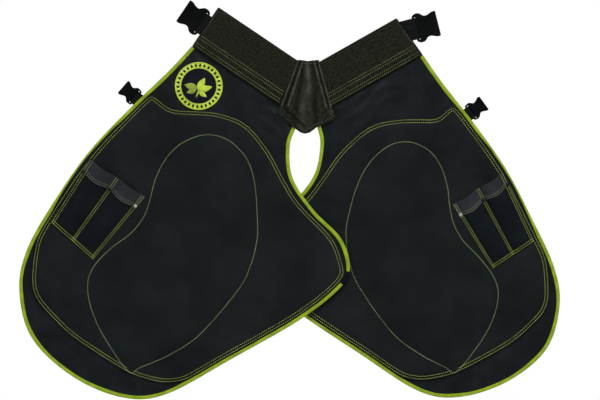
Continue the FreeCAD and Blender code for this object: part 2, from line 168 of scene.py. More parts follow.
def mesh_piece(name, points, faces, lay, finish, rub=0.0):
    """A mesh in metres. lay holds each point's place on the flat cloth, in mm. The last argument,
    from -1 to 1, makes its colour lighter above 0, for wear and a painted highlight, and darker
    below 0, as painted shade."""
    mesh = bpy.data.meshes.new(name)
    mesh.from_pydata([tuple(p) for p in points], [], [tuple(map(int, f)) for f in faces])
    outward = bmesh.new()
    outward.from_mesh(mesh)
    bmesh.ops.recalc_face_normals(outward, faces=outward.faces[:])
    outward.to_mesh(mesh)
    outward.free()
    place = mesh.attributes.new("lay", "FLOAT_VECTOR", "POINT")
    place.data.foreach_set("vector", np.asarray(lay, np.float32).ravel())
    # Per-point lightening and darkening of the colour: wear and a painted highlight above 0,
    # painted shade below 0.
    wear_and_light_mask = mesh.attributes.new("rub", "FLOAT", "POINT")
    wear_and_light_mask.data.foreach_set("value", np.broadcast_to(rub, len(points)).astype(np.float32))
    mesh.polygons.foreach_set("use_smooth", [True] * len(mesh.polygons))
    mesh.materials.append(finish)
    piece = bpy.data.objects.new(name, mesh)
    bpy.context.scene.collection.objects.link(piece)
    return piece


def shell(name, side, xy, tris, front, back, finish, lean=None, rub=0.0):
    """Cloth between two levels, in mm to the front of its side's plane, closed at its edge."""
    n = len(xy)
    front, back = np.broadcast_to(front, n), np.broadcast_to(back, n)
    points = np.vstack([stand(side, xy, front, lean), stand(side, xy, back, lean)])
    sides = np.vstack([tris[:, [0, 1]], tris[:, [1, 2]], tris[:, [2, 0]]])
    known = {tuple(e) for e in sides}
    rim = [(a, b) for a, b in known if (b, a) not in known]
    faces = [tuple(t) for t in tris] + [(c + n, b + n, a + n) for a, b, c in tris]
    faces += [(b, a, a + n, b + n) for a, b in rim]
    lay = np.vstack([np.column_stack([xy, front]), np.column_stack([xy, back])])
    rub = np.tile(np.broadcast_to(rub, n), 2)
    return mesh_piece(name, points, faces, lay, finish, rub)


def sway(side, xy):
    """The slow waves that a leg lies in, in mm. None at the seam that it hangs from."""
    x, y = np.asarray(xy, float).T
    u = x * side["hand"]
    shift = 0.0 if side["hand"] > 0 else 2.1
    waves = 0.9 * np.sin(u / 92 + y / 210 + 0.6 + shift)
    waves = waves + 0.6 * np.sin(u / 47 - y / 66 + 1.9 + shift) + 0.3 * np.sin(u / 23 + y / 31)
    hold = 1 - np.exp(-np.clip(y, 0, None) / 55)
    return waves * hold * 0.8


def wrinkles(side, xy):
    """Soft creases under the band, in mm, where the canvas is eased into its seam."""
    x, y = np.asarray(xy, float).T
    u = x * side["hand"]
    drift = 9 * np.sin(u / 38 + side["hand"]) + 5 * np.sin(u / 17 + 2.0)
    rows = np.sin((y + drift) / 3.4) + 0.7 * np.sin((y * 1.3 - drift * 0.8) / 5.3 + u / 60)
    patchy = 0.5 + 0.5 * np.sin(u / 31 + y / 40 + 1.4 * side["hand"])
    fade = np.clip(y / 9, 0, 1) * np.exp(-np.clip(y - 22, 0, None) / 30)
    return 0.7 * rows * patchy * fade


def linear(hex_code):
    """An sRGB hex colour as linear red, green, blue and alpha."""
    parts = [int(hex_code[i : i + 2], 16) / 255 for i in (1, 3, 5)]
    return [c / 12.92 if c <= 0.04045 else ((c + 0.055) / 1.055) ** 2.4 for c in parts] + [1.0]


def node(tree, kind, settings=None, links=None):
    """Adds a shader node. settings are its properties, sockets or colour stops, and links its
    linked sockets."""
    made = tree.nodes.new(kind)
    for key, value in (settings or {}).items():
        if key == "stops":
            while len(made.color_ramp.elements) < len(value):
                made.color_ramp.elements.new(0.5)
            for step, (place, colour) in zip(made.color_ramp.elements, value):
                step.position, step.color = place, linear(colour)
        elif isinstance(key, str) and hasattr(made, key):
            setattr(made, key, value)
        else:
            made.inputs[key].default_value = value
    for key, socket in (links or {}).items():
        tree.links.new(socket, made.inputs[key])
    return made


def new_finish(name):
    """An empty material with its shader, and the place on the flat cloth in mm."""
    material = bpy.data.materials.new(name)
    material.use_nodes = True
    tree = material.node_tree
    shader = tree.nodes["Principled BSDF"]
    lay = node(tree, "ShaderNodeAttribute", {"attribute_name": "lay"})
    return material, tree, shader, lay.outputs["Vector"]


def plain_weave(tree, lay, pitch):
    """Height of a plain weave, 0 to 1: threads across and along, each over every other."""
    parts = node(tree, "ShaderNodeSeparateXYZ", {}, {0: lay})
    turn = math.pi / pitch
    heights = []
    for axis in ("X", "Y"):
        wide = node(tree, "ShaderNodeMath", {"operation": "MULTIPLY", 1: turn},
                    {0: parts.outputs[axis]})
        wave = node(tree, "ShaderNodeMath", {"operation": "SINE"}, {0: wide.outputs[0]})
        heights.append(wave.outputs[0])
    both = node(tree, "ShaderNodeMath", {"operation": "MULTIPLY"}, {0: heights[0], 1: heights[1]})
    return node(tree, "ShaderNodeMath", {"operation": "ABSOLUTE"}, {0: both.outputs[0]}).outputs[0]


def dyed_and_shaded(tree, pattern, colours, shading, shades, depth):
    """Colours laid out by one pattern and darkened by another. Where the other follows the height
    of threads or ribs, the darkening is painted shade in their hollows. depth is how strongly they
    do."""
    colour = node(tree, "ShaderNodeValToRGB", {"stops": colours}, {"Fac": pattern})
    shade = node(tree, "ShaderNodeValToRGB", {"stops": shades}, {"Fac": shading})
    both = node(tree, "ShaderNodeMix", {"data_type": "RGBA", "blend_type": "MULTIPLY", 0: depth},
                {6: colour.outputs["Color"], 7: shade.outputs["Color"]})
    return both.outputs[2]


def finish_canvas(name, dark, mid, light, pitch, rough):
    """Coated canvas: a faint check of flat yarns, mottled where the coating has rubbed, and matt.
    Its colour is painted darker in the weave's hollows as painted shade, and lighter along fold
    crests as wear and a painted highlight."""
    material, tree, shader, lay = new_finish(name)
    height = plain_weave(tree, lay, pitch)
    mottle = node(tree, "ShaderNodeTexNoise", {"Scale": 0.022, "Detail": 5.0, "Roughness": 0.62},
                  {"Vector": lay})
    fluff = node(tree, "ShaderNodeTexNoise", {"Scale": 0.9, "Detail": 2.0}, {"Vector": lay})
    # The yarns are painted darker in the hollows of the weave: painted shade.
    yarns = dyed_and_shaded(tree, mottle.outputs["Fac"], [(0.3, dark), (0.52, mid), (0.74, light)],
                 height, [(0.0, "#8c8c8c"), (0.6, "#ffffff")], 0.75)
    # A lighter grey mixed in by the per-point attribute: wear and a painted highlight along fold
    # crests.
    wear_and_light_mask = node(tree, "ShaderNodeAttribute", {"attribute_name": "rub"})
    highlit_and_worn = node(tree, "ShaderNodeMix", {"data_type": "RGBA", 7: linear("#34383b")},
                  {0: wear_and_light_mask.outputs["Fac"], 6: yarns})
    tree.links.new(highlit_and_worn.outputs[2], shader.inputs["Base Color"])
    level = node(tree, "ShaderNodeMath", {"operation": "MULTIPLY_ADD", 1: 0.25, 2: rough},
                 {0: fluff.outputs["Fac"]})
    tree.links.new(level.outputs[0], shader.inputs["Roughness"])
    raised = node(tree, "ShaderNodeMath", {"operation": "MULTIPLY_ADD", 1: 0.35},
                  {0: fluff.outputs["Fac"], 2: height})
    bump = node(tree, "ShaderNodeBump", {"Strength": 0.45, "Distance": 0.0003},
                {"Height": raised.outputs[0]})
    tree.links.new(bump.outputs["Normal"], shader.inputs["Normal"])
    shader.inputs["IOR"].default_value = 1.5
    shader.inputs["Specular IOR Level"].default_value = 0.05
    return material


coated_canvas = finish_canvas("coated_nylon_canvas", "#101315", "#171b1d", "#1e2325", YARN, 0.62)


def hang(piece):
    """Cloth that crosses the seam under the band: its place is baked into its mesh, and it is not
    attached to a body.
    """
    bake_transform(piece)


def leg_line(side, by=0.0, step=4.0):
    return inset(smooth(lie(side, LEG_EDGE), step), by)


for side in SIDES.values():
    edge = leg_line(side, 1.2, 5.0)
    rim = np.vstack([edge, lie(side, [(-20, 3), (0, -3)]), lie(side, [(197, -3)])])
    xy, tris = cut_cloth(rim, [], 5.0)
    creases = wrinkles(side, xy)
    wave = sway(side, xy) + creases
    # The crease crests are painted lighter through the last argument: partly wear, partly a
    # painted highlight.
    panel = shell(side["name"] + "_base_panel", side, xy, tris, wave + CANVAS_HALF,
                  wave - CANVAS_HALF, coated_canvas, rub=np.clip(0.25 * creases, 0, 0.3))
    hang(panel)
    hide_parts(side["name"] + "_leg_base_panel")

# ------------------------------------------------------------------ lime binding
# A ribbed polyester tape folded over the raw edge of each leg and sewn through. It rolls a
# little at the edge, so that it reads as a bright round cord from the front.

TAPE_SHOWS = 6.6              # mm of tape on each face
RIB = 1.6                     # mm from rib to rib along the tape


def finish_binding():
    """Grosgrain tape: fine ribs square to the edge, bright lime, painted darker and greener in the
    hollows as painted shade.
    """
    material, tree, shader, lay = new_finish("lime_grosgrain_tape")
    parts = node(tree, "ShaderNodeSeparateXYZ", {}, {0: lay})
    along = node(tree, "ShaderNodeMath", {"operation": "MULTIPLY", 1: 2 * math.pi / RIB},
                 {0: parts.outputs["X"]})
    rib = node(tree, "ShaderNodeMath", {"operation": "SINE"}, {0: along.outputs[0]})
    level = node(tree, "ShaderNodeMath", {"operation": "MULTIPLY_ADD", 1: 0.5, 2: 0.5},
                 {0: rib.outputs[0]})
    soil = node(tree, "ShaderNodeTexNoise", {"Scale": 0.05, "Detail": 4.0}, {"Vector": lay})
    # The colour is painted darker in the hollows between ribs: painted shade.
    ribs = dyed_and_shaded(tree, soil.outputs["Fac"], [(0.3, "#728809"), (0.5, "#849e0e"), (0.7, "#95af15")],
                level.outputs[0], [(0.0, "#b9b9b9"), (0.7, "#ffffff")], 0.8)
    tree.links.new(ribs, shader.inputs["Base Color"])
    bump = node(tree, "ShaderNodeBump", {"Strength": 0.6, "Distance": 0.00035},
                {"Height": level.outputs[0]})
    tree.links.new(bump.outputs["Normal"], shader.inputs["Normal"])
    rough = node(tree, "ShaderNodeMath", {"operation": "MULTIPLY_ADD", 1: 0.2, 2: 0.5},
                 {0: soil.outputs["Fac"]})
    tree.links.new(rough.outputs[0], shader.inputs["Roughness"])
    shader.inputs["Specular IOR Level"].default_value = 0.2
    shader.inputs["Sheen Weight"].default_value = 0.05
    return material


lime_tape = finish_binding()


def sweep(name, side, rings, finish, along, across, lean=None):
    """A closed section carried along a line. rings is rows of (x, y, w), in mm."""
    rows, around = rings.shape[:2]
    flat = rings.reshape(-1, 3)
    points = stand(side, flat[:, :2], flat[:, 2], lean)
    faces = []
    for i in range(rows - 1):
        for j in range(around):
            k = (j + 1) % around
            faces.append((i * around + j, i * around + k, (i + 1) * around + k,
                          (i + 1) * around + j))
    faces.append(tuple(range(around))[::-1])
    faces.append(tuple((rows - 1) * around + j for j in range(around)))
    lay = np.stack([np.repeat(along, around), np.tile(across, rows), 0 * flat[:, 2]], 1)
    piece = mesh_piece(name, points, faces, lay, finish)
    return piece


# one fold of the tape: how far in from the leg's edge as a share of what shows, and its level
# in mm, round the outside of the fold and back along its inside
FOLD = [
    (1.0, 1.0), (0.98, 1.5), (0.8, 1.8), (0.5, 2.05), (0.25, 1.95), (0.08, 1.45), (0.0, 0.7),
    (-0.02, 0.0), (0.0, -0.7), (0.08, -1.45), (0.25, -1.9), (0.5, -1.95), (0.8, -1.75),
    (0.98, -1.5), (1.0, -1.0), (0.6, -0.95), (0.2, -0.85), (0.12, 0.0), (0.2, 0.85), (0.6, 0.95),
]
for side in SIDES.values():
    line = leg_line(side, 0.0, 2.5)
    along = np.arange(len(line)) * 2.5
    outer = line[:, 0] * side["hand"] > 150
    drawn = np.exp(-(((line[:, 1] / side["down"] - 290) / 95) ** 4)) * outer
    loose = 1 + 0.05 * np.sin(along / 31) + 0.04 * np.sin(along / 13 + 1) - 0.5 * drawn
    wave = sway(side, line)
    rings = np.stack(
        [np.column_stack([inset(line, a * TAPE_SHOWS * loose), wave + b]) for a, b in FOLD], 1
    )
    binding = sweep(side["name"] + "_binding", side, rings, lime_tape, along,
                    np.linspace(0, 24, len(FOLD)))
    hang(binding)
    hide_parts(side["name"] + "_leg_binding")
    long = float(along[-1]) / 1000

# ------------------------------------------------------------------ sewing thread
# Bonded polyester thread, lock-stitched with about 3.5 mm stitches. Each stitch is a short
# raised bead that dips into the cloth at both ends.

STITCH = 3.9                  # mm from one stitch to the next
STITCH_LONG = 2.0
THREAD = 0.92                 # mm thick, a little over the real 0.6 so that it shows


def finish_thread(name, low, high):
    """Twisted thread: a soft plastic shine, brighter on its crown."""
    material, tree, shader, lay = new_finish(name)
    patch = node(tree, "ShaderNodeTexNoise", {"Scale": 0.03, "Detail": 3.0}, {"Vector": lay})
    colour = node(tree, "ShaderNodeValToRGB", {"stops": [(0.35, low), (0.65, high)]},
                  {"Fac": patch.outputs["Fac"]}).outputs["Color"]
    tree.links.new(colour, shader.inputs["Base Color"])
    shader.inputs["Roughness"].default_value = 0.55
    return material


lime_thread = finish_thread("lime_polyester_thread", "#a0b53a", "#c6da5c")
pale_thread = finish_thread("faded_lime_polyester_thread", "#a0b068", "#c6d592")
olive_thread = finish_thread("olive_polyester_thread", "#5d6a34", "#8a9a52")
grey_thread = finish_thread("grey_polyester_thread", "#40443e", "#5a5f56")
dusty_thread = finish_thread("dusty_lime_polyester_thread", "#6c7440", "#8f9860")


def stitches(name, side, runs, finish, lean=None, pitch=STITCH):
    """Beads of thread along runs of (x, y, w) points in mm, joined as one piece."""
    bead_t = np.array([-0.5, -0.36, 0.0, 0.36, 0.5])
    bead_r = np.array([0.12, 0.42, 0.5, 0.42, 0.12]) * THREAD
    bead_h = np.array([-0.5, 0.05, 0.25, 0.05, -0.5]) * THREAD
    around = np.arange(6) * math.pi / 3
    points, faces, lay = [], [], []
    for run in runs:
        line = even(np.asarray(run, float), pitch)
        mid = (line[1:] + line[:-1]) / 2
        ahead = line[1:] - line[:-1]
        ahead = ahead / np.linalg.norm(ahead, axis=1)[:, None]
        beside = np.stack([-ahead[:, 1], ahead[:, 0], 0 * ahead[:, 0]], 1)
        beside = beside / np.linalg.norm(beside, axis=1)[:, None]
        for m, d, b in zip(mid, ahead, beside):
            start = len(points)
            for t, r, h in zip(bead_t, bead_r, bead_h):
                middle = m + d * t * STITCH_LONG + np.array([0, 0, h])
                for a in around:
                    points.append(middle + r * (math.cos(a) * b + np.array([0, 0, math.sin(a)])))
            for i in range(4):
                for j in range(6):
                    k = (j + 1) % 6
                    faces.append((start + i * 6 + j, start + i * 6 + k,
                                  start + i * 6 + 6 + k, start + i * 6 + 6 + j))
            faces.append(tuple(start + j for j in range(6))[::-1])
            faces.append(tuple(start + 24 + j for j in range(6)))
    points = np.array(points)
    return mesh_piece(name, stand(side, points[:, :2], points[:, 2], lean), faces, points, finish)


def on_leg(side, line, level):
    """A run of the leg's plane, level mm to the front of its slow waves."""
    return np.column_stack([line, sway(side, line) + level])


# ------------------------------------------------------------------ overlays and pads
# Napped split leather over most of each leg's front, double stitched round its edge. A felt
# pad lies under it, held in by one teardrop line of stitches, and lifts it into a low cushion.

OVERLAY_TOP = [
    (290.0, 96.0), (214.4, 112.4), (168.4, 117.4), (136.5, 101.2), (90.1, 75.1), (34.2, 63.0),
    (-28.1, 80.4), (-80.7, 107.6), (-132.1, 130.0), (-214.6, 148.3), (-259.0, 177.9),
    (-320.0, 235.0),
]
OVERLAY_FOOT = [
    (300.0, 360.0), (262.0, 405.0), (246.0, 428.0), (230.5, 472.5), (203.0, 524.0),
    (180.0, 546.5), (145.0, 558.4), (88.6, 569.0), (31.1, 570.0), (-38.3, 567.3),
    (-76.0, 558.3), (-110.0, 544.2), (-140.0, 518.0), (-190.0, 470.0),
]
PAD_EDGE = [
    (84.0, 121.0), (106.0, 146.0), (118.0, 173.0), (121.7, 207.2), (115.8, 244.9), (104.3, 277.1),
    (95.6, 311.0), (98.1, 349.7), (113.4, 394.2), (120.4, 438.8), (111.7, 472.7), (80.5, 506.5),
    (32.0, 536.3), (-40.9, 564.1), (-54.4, 546.3), (-86.2, 496.5), (-111.7, 433.8),
    (-124.5, 326.0), (-117.7, 273.6), (-101.6, 230.3), (-84.0, 202.2), (-49.4, 157.3),
    (-19.5, 127.4), (12.0, 111.5), (50.0, 107.5),
]
HIDE = 2.0                    # mm thick
HIDE_FRONT = CANVAS_HALF + HIDE
PUFF = 3.4                    # mm that the pad lifts the middle of the teardrop
POCKET = {"top": 279.0, "foot": 425.0, "inner": (115.0, 129.5), "outer": (238.0, 232.0)}


def finish_overlay():
    """Napped leather, black with dye: a dull soft surface, greyer where the nap is brushed up,
    with fine grain and a few broad scuffs."""
    material, tree, shader, lay = new_finish("black_split_leather")
    broad = node(tree, "ShaderNodeTexNoise", {"Scale": 0.009, "Detail": 4.0, "Roughness": 0.55},
                 {"Vector": lay})
    nap = node(tree, "ShaderNodeTexNoise", {"Scale": 0.35, "Detail": 6.0, "Roughness": 0.7},
               {"Vector": lay})
    grain = node(tree, "ShaderNodeTexVoronoi", {"Scale": 0.55}, {"Vector": lay})
    blacks = [(0.3, "#111516"), (0.5, "#171b1c"), (0.72, "#1d2123")]
    brushed = dyed_and_shaded(tree, broad.outputs["Fac"], blacks,
                   nap.outputs["Fac"], [(0.3, "#b4b4b4"), (0.7, "#ffffff")], 0.7)
    tree.links.new(brushed, shader.inputs["Base Color"])
    level = node(tree, "ShaderNodeMath", {"operation": "MULTIPLY_ADD", 1: 0.3, 2: 0.68},
                 {0: nap.outputs["Fac"]})
    tree.links.new(level.outputs[0], shader.inputs["Roughness"])
    relief = node(tree, "ShaderNodeMath", {"operation": "MULTIPLY_ADD", 1: 0.4},
                  {0: grain.outputs["Distance"], 2: nap.outputs["Fac"]})
    bump = node(tree, "ShaderNodeBump", {"Strength": 0.35, "Distance": 0.0004},
                {"Height": relief.outputs[0]})
    tree.links.new(bump.outputs["Normal"], shader.inputs["Normal"])
    shader.inputs["Specular IOR Level"].default_value = 0.05
    return material


split_leather = finish_overlay()


def top_seam(side):
    """The overlay's top seam; the right one sags a little and reaches higher at its end."""
    uv = np.array(OVERLAY_TOP)
    if side["hand"] < 0:
        uv[:, 1] += 8 * np.exp(-(((uv[:, 0] - 75) / 65) ** 2)) - 5 * (abs(uv[:, 0] - 225) < 20)
    return smooth(lie(side, uv), 4.0)


def pad_line(side):
    """The teardrop seam round the pad; the right pad was sewn on lower and further out."""
    uv = np.array(PAD_EDGE)
    if side["hand"] < 0:
        uv[:, 0] += 8 * np.exp(-(((uv[:, 1] - 100) / 200) ** 2))
        uv[:, 1] += 13 * np.exp(-(((uv[:, 1] - 100) / 75) ** 2))
    return smooth(lie(side, uv), 3.9, True)


def overlay_rim(side):
    """The overlay's cut edge: its two seams, joined along the inside of the binding."""
    edge = leg_line(side, TAPE_SHOWS + 0.6, 4.0)
    top = top_seam(side)
    foot = smooth(lie(side, OVERLAY_FOOT), 4.0)
    order_top, order_foot = np.argsort(top[:, 0]), np.argsort(foot[:, 0])
    roof = np.interp(edge[:, 0], top[order_top, 0], top[order_top, 1])
    floor = np.interp(edge[:, 0], foot[order_foot, 0], foot[order_foot, 1])
    keep = (edge[:, 1] > roof + 1) & (edge[:, 1] < floor - 1)
    loop = np.vstack([edge, [[0, 0]]])
    first = np.flatnonzero(~keep & (edge[:, 1] > floor - 1))
    outer, rest = edge[: first[0]][keep[: first[0]]], edge[first[-1] + 1 :][keep[first[-1] + 1 :]]
    foot, top = foot[inside(loop, foot)], top[inside(loop, top)]
    return np.vstack([outer, foot[1:-1], rest, top[::-1][1:-1]])


def pocket_sides(v):
    share = (v - POCKET["top"]) / (POCKET["foot"] - POCKET["top"])
    ends = [POCKET[k][0] + share * (POCKET[k][1] - POCKET[k][0]) for k in ("inner", "outer")]
    return ends[0], sum(ends) / 2, ends[1]


def settle(side, xy, tris, start, pinned):
    """Lets the hide shrink and swell between its rows of stitches, and returns its levels."""
    mesh = bpy.data.meshes.new("hide_at_rest")
    flat = np.column_stack([xy, start]) / 1000
    mesh.from_pydata([tuple(p) for p in flat], [], [tuple(map(int, t)) for t in tris])
    hide = bpy.data.objects.new("hide_at_rest", mesh)
    bpy.context.scene.collection.objects.link(hide)
    held = hide.vertex_groups.new(name="stitched")
    held.add([int(i) for i in np.flatnonzero(pinned)], 1.0, "REPLACE")
    cloth = hide.modifiers.new("hide", "CLOTH")
    cloth.settings.vertex_group_mass = "stitched"
    cloth.settings.quality = 6
    cloth.settings.mass = 0.25
    cloth.settings.tension_stiffness = 18
    cloth.settings.compression_stiffness = 18
    cloth.settings.shear_stiffness = 9
    cloth.settings.bending_stiffness = 1.2
    cloth.settings.shrink_min = -0.012
    cloth.settings.air_damping = 4
    cloth.settings.effector_weights.gravity = 0
    cloth.settings.use_pressure = True
    cloth.settings.uniform_pressure_force = 0.25
    cloth.collision_settings.use_collision = False
    scene = bpy.context.scene
    for f in range(1, 19):
        scene.frame_set(f)
    moved = hide.evaluated_get(bpy.context.evaluated_depsgraph_get()).data
    co = np.zeros(len(moved.vertices) * 3, np.float32)
    moved.vertices.foreach_get("co", co)
    bpy.data.objects.remove(hide)
    scene.frame_set(1)
    return co.reshape(-1, 3)[:, 2] * 1000


for side in SIDES.values():
    rim = overlay_rim(side)
    rows = []
    for by in (3.0, 8.0):
        row = even(inset(rim, by, True), 4.0, True)
        for _ in range(5):
            row = (np.roll(row, 1, 0) + 2 * row + np.roll(row, -1, 0)) / 4
        rows.append(row)
    pad = pad_line(side)
    pad_seam = np.vstack([pad, pad[:1]])
    boxed = []
    for i in range(3):
        ends = [(pocket_sides(v)[i], v) for v in (POCKET["top"] + 3, POCKET["foot"] - 3)]
        boxed.append(even(lie(side, ends), 5.0))
    corners = [(pocket_sides(POCKET["foot"] - 3)[i], POCKET["foot"] - 3) for i in (0, 2)]
    boxed.append(even(lie(side, corners), 5.0)[1:-1])
    kept = [line[inside(inset(rim, 1.5, True), line)] for line in rows + [pad_seam] + boxed]
    xy, tris = cut_cloth(rim, kept, 6.5)
    from_pad, from_rows = away(xy, [pad_seam]), away(xy, rows + boxed + [rim])
    inner = inside(pad, xy)
    lift = np.where(inner, PUFF * (1 - np.exp(-((from_pad / 12) ** 1.2))), 0.0)
    lift = lift + 0.7 * (1 - np.exp(-np.minimum(from_pad, from_rows) / 8))
    sewn = np.minimum(from_pad, from_rows) < 0.8
    groove = 0.35 * np.exp(-((np.minimum(from_pad, away(xy, rows)) / 1.6) ** 2))
    settled = settle(side, xy, tris, lift, sewn)
    lift = lift + np.clip(settled - lift, -0.9, 1.3)
    wave = sway(side, xy)
    front = wave + HIDE_FRONT + lift - groove
    cover = shell(side["name"] + "_overlay", side, xy, tris, front, front - HIDE, split_leather)
    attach(cover, side["name"] + "_leg")
    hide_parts(side["name"] + "_leg_overlay", side["name"] + "_leg_pad")
    border = [np.vstack([line, line[:1]]) for line in rows]
    sewing = stitches(side["name"] + "_overlay_stitches", side,
                      [on_leg(side, line, HIDE_FRONT - 0.1) for line in border], lime_thread)
    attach(sewing, side["name"] + "_leg")
    sewing = stitches(side["name"] + "_pad_stitches", side,
                      [on_leg(side, pad_seam, HIDE_FRONT - 0.1)], pale_thread)
    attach(sewing, side["name"] + "_leg")

# ------------------------------------------------------------------ tool pockets
# A canvas patch on each outer thigh, sewn flat round three sides and down its middle so that
# it stands out in two slots. A grey folded hem stiffens the mouth and gapes a little.

SLOT_DEEP = 9.0
PATCH = 1.2
HEM_TALL = 31.0
COLUMNS = 81                  # points across a pocket

pocket_canvas = finish_canvas("pocket_canvas", "#0c1014", "#101519", "#161b1f", 1.4, 0.68)
grey_hem = finish_canvas("grey_hem_twill", "#212528", "#2a2e32", "#363b3f", 1.1, 0.7)


ASKEW = {"left": (0.0, 6.5, 13.5), "right": (7.0, 1.5, 6.5)}      # mm, at the mouth and foot


def mouth(side, s):
    return POCKET["top"] - ASKEW[side["name"]][0] * s


def patch_foot(side, s):
    """How far down the pocket reaches, in mm: each is set a little askew."""
    return POCKET["foot"] + ASKEW[side["name"]][1] - ASKEW[side["name"]][2] * s


def slot_rise(s, t):
    """How far the pocket stands out, in mm. s runs across it and t down it, both 0 to 1."""
    strip = 0.075
    rise = np.zeros_like(s)
    for low, high in ((strip, 0.5 - strip / 2), (0.5 + strip / 2, 1 - strip)):
        share = np.clip((s - low) / (high - low), 0, 1)
        rise = rise + np.where((s > low) & (s < high), np.sin(math.pi * share) ** 0.6, 0)
    deep = SLOT_DEEP * (1 - 0.5 * t) * np.clip((1 - t) / 0.1, 0, 1) ** 0.6
    crease = np.sin(11 * s + 4 * t) + 0.6 * np.sin(23 * s - 7 * t + 1)
    return rise * (deep + 0.6 * crease * np.sin(math.pi * np.clip(t, 0, 1)))


def mouth_dip(s):
    """How far the mouth hangs down between its fixings, in mm."""
    return 2.5 * np.sin(math.pi * ((2 * s) % 1)) ** 2


def on_pocket(side, s, v, off):
    """Points off mm to the front of the pocket's cloth, s across it and v mm down the leg."""
    t = (v - mouth(side, s)) / (patch_foot(side, s) - mouth(side, s))
    inner, _, outer = pocket_sides(v)
    xy = lie(side, np.stack([inner - 2 + s * (outer - inner + 2), v], 1))
    return np.column_stack([xy, sway(side, xy) + HIDE_FRONT + slot_rise(s, t) + off])


def pocket_piece(name, side, foot, low, high, finish, flare=0.0, step=2.5):
    """Cloth over the pocket from its mouth to foot(s), from low to high mm off its face."""
    count = max(9, int((foot(side, 0.5) - POCKET["top"]) / step))
    s, t = np.meshgrid(np.linspace(0, 1, COLUMNS), np.linspace(0, 1, count))
    s, t = s.ravel(), t.ravel()
    below = t * (foot(side, s) - mouth(side, s))
    gape = flare * np.exp(-below / 9) * np.abs(np.sin(2 * math.pi * s)) ** 0.7
    dip = mouth_dip(s) * np.exp(-((below / 45) ** 2))
    spots = on_pocket(side, s, mouth(side, s) + below, gape)
    xy = spots[:, :2] + np.column_stack([0 * dip, dip])
    corners = (0, 1, COLUMNS + 1, COLUMNS)
    quads = [[i * COLUMNS + j + k for k in corners]
             for i in range(count - 1) for j in range(COLUMNS - 1)]
    tris = np.array([q for a, b, c, d in quads for q in ((a, b, c), (a, c, d))])
    made = shell(name, side, xy, tris, spots[:, 2] + high, spots[:, 2] + low, finish)
    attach(made, side["name"] + "_leg")
    return made, xy, tris


def hem_foot(side, s):
    return mouth(side, s) + HEM_TALL - 3 + 3.5 * np.sin(math.pi * ((2 * s) % 1)) ** 2


for side in SIDES.values():
    patch, xy, tris = pocket_piece(side["name"] + "_pocket", side, patch_foot, 0.1, PATCH,
                                   pocket_canvas)
    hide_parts(side["name"] + "_pocket_front")
    hem, xy, tris = pocket_piece(side["name"] + "_pocket_mouth_hem", side, hem_foot, -0.5,
                                 PATCH + 1.2, grey_hem, 1.6, 1.8)
    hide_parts(side["name"] + "_pocket_hem")
    runs = []
    for s in (0.02, 0.056, 0.482, 0.518, 0.944, 0.98):
        v = np.linspace(mouth(side, s) + 1, patch_foot(side, s) - 2.0, 60)
        over = 1.35 * (v < hem_foot(side, s))
        runs.append(on_pocket(side, np.full(60, s), v, PATCH + over))
    for up in (3.0, 7.5):
        s = np.linspace(0.012, 0.99, 50)
        runs.append(on_pocket(side, s, patch_foot(side, s) - up, PATCH + 0.1))
    sewing = stitches(side["name"] + "_pocket_stitches", side, runs, lime_thread)
    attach(sewing, side["name"] + "_leg")
    runs = []
    for up in (2.5, 7.0):
        for low, high in ((0.07, 0.46), (0.54, 0.93)):
            s = np.linspace(low, high, 40)
            run = on_pocket(side, s, hem_foot(side, s) - up, PATCH + 1.25)
            run[:, 1] += mouth_dip(s) * math.exp(-(((HEM_TALL - 5) / 45) ** 2))
            runs.append(run)
    sewing = stitches(side["name"] + "_hem_stitches", side, runs, dusty_thread)
    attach(sewing, side["name"] + "_leg")

# ------------------------------------------------------------------ pocket rivets
# Pressed steel caps, blackened, one through each corner of the hem and one at the divider.
# The cap at the inner corner is given bright nickel, as a painted highlight for the glint of light
# at that corner.


def finish_metal(name, colour, metallic, rough):
    """Pressed metal: fine even grain from the tumbler, with small rubbed spots."""
    material, tree, shader, _ = new_finish(name)
    where = node(tree, "ShaderNodeTexCoord")
    spots = node(tree, "ShaderNodeTexNoise", {"Scale": 900.0, "Detail": 3.0},
                 {"Vector": where.outputs["Object"]})
    shader.inputs["Base Color"].default_value = linear(colour)
    level = node(tree, "ShaderNodeMath", {"operation": "MULTIPLY_ADD", 1: 0.2, 2: rough},
                 {0: spots.outputs["Fac"]})
    tree.links.new(level.outputs[0], shader.inputs["Roughness"])
    shader.inputs["Metallic"].default_value = metallic
    return material


black_steel = finish_metal("blackened_steel", "#17181a", 0.8, 0.3)
painted_glint_nickel = finish_metal("nickel_for_painted_glint", "#b9b9b4", 1.0, 0.2)
CAP_PROFILE = [(0.0, 1.5), (1.2, 1.42), (2.2, 1.1), (2.8, 0.6), (3.0, 0.1), (3.0, -1.0)]


def cap(spot):
    rows = len(CAP_PROFILE)
    turn = np.arange(20) * 2 * math.pi / 20
    points = [(0.0, 0.0, CAP_PROFILE[0][1])]
    for r, h in CAP_PROFILE[1:]:
        points += [(r * math.cos(a), r * math.sin(a), h) for a in turn]
    faces = [(0, 1 + j, 1 + (j + 1) % 20) for j in range(20)]
    for i in range(rows - 2):
        for j in range(20):
            k = (j + 1) % 20
            faces.append((1 + i * 20 + j, 21 + i * 20 + j, 21 + i * 20 + k, 1 + i * 20 + k))
    return np.array(points) + spot, faces


for side in SIDES.values():
    for which, s in (("inner", 0.03), ("middle", 0.5), ("outer", 0.97)):
        at = np.array([s])
        spot = on_pocket(side, at, mouth(side, at) + 25.0, PATCH + 2.0)[0]
        points, faces = cap(spot)
        # The inner cap's bright nickel is a painted highlight for a glint of light.
        finish = painted_glint_nickel if which == "inner" else black_steel
        placed = stand(side, points[:, :2], points[:, 2])
        rivet = mesh_piece(side["name"] + "_rivet_" + which, placed, faces, points, finish)
        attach(rivet, side["name"] + "_leg")
        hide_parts(side["name"] + "_pocket_rivets")

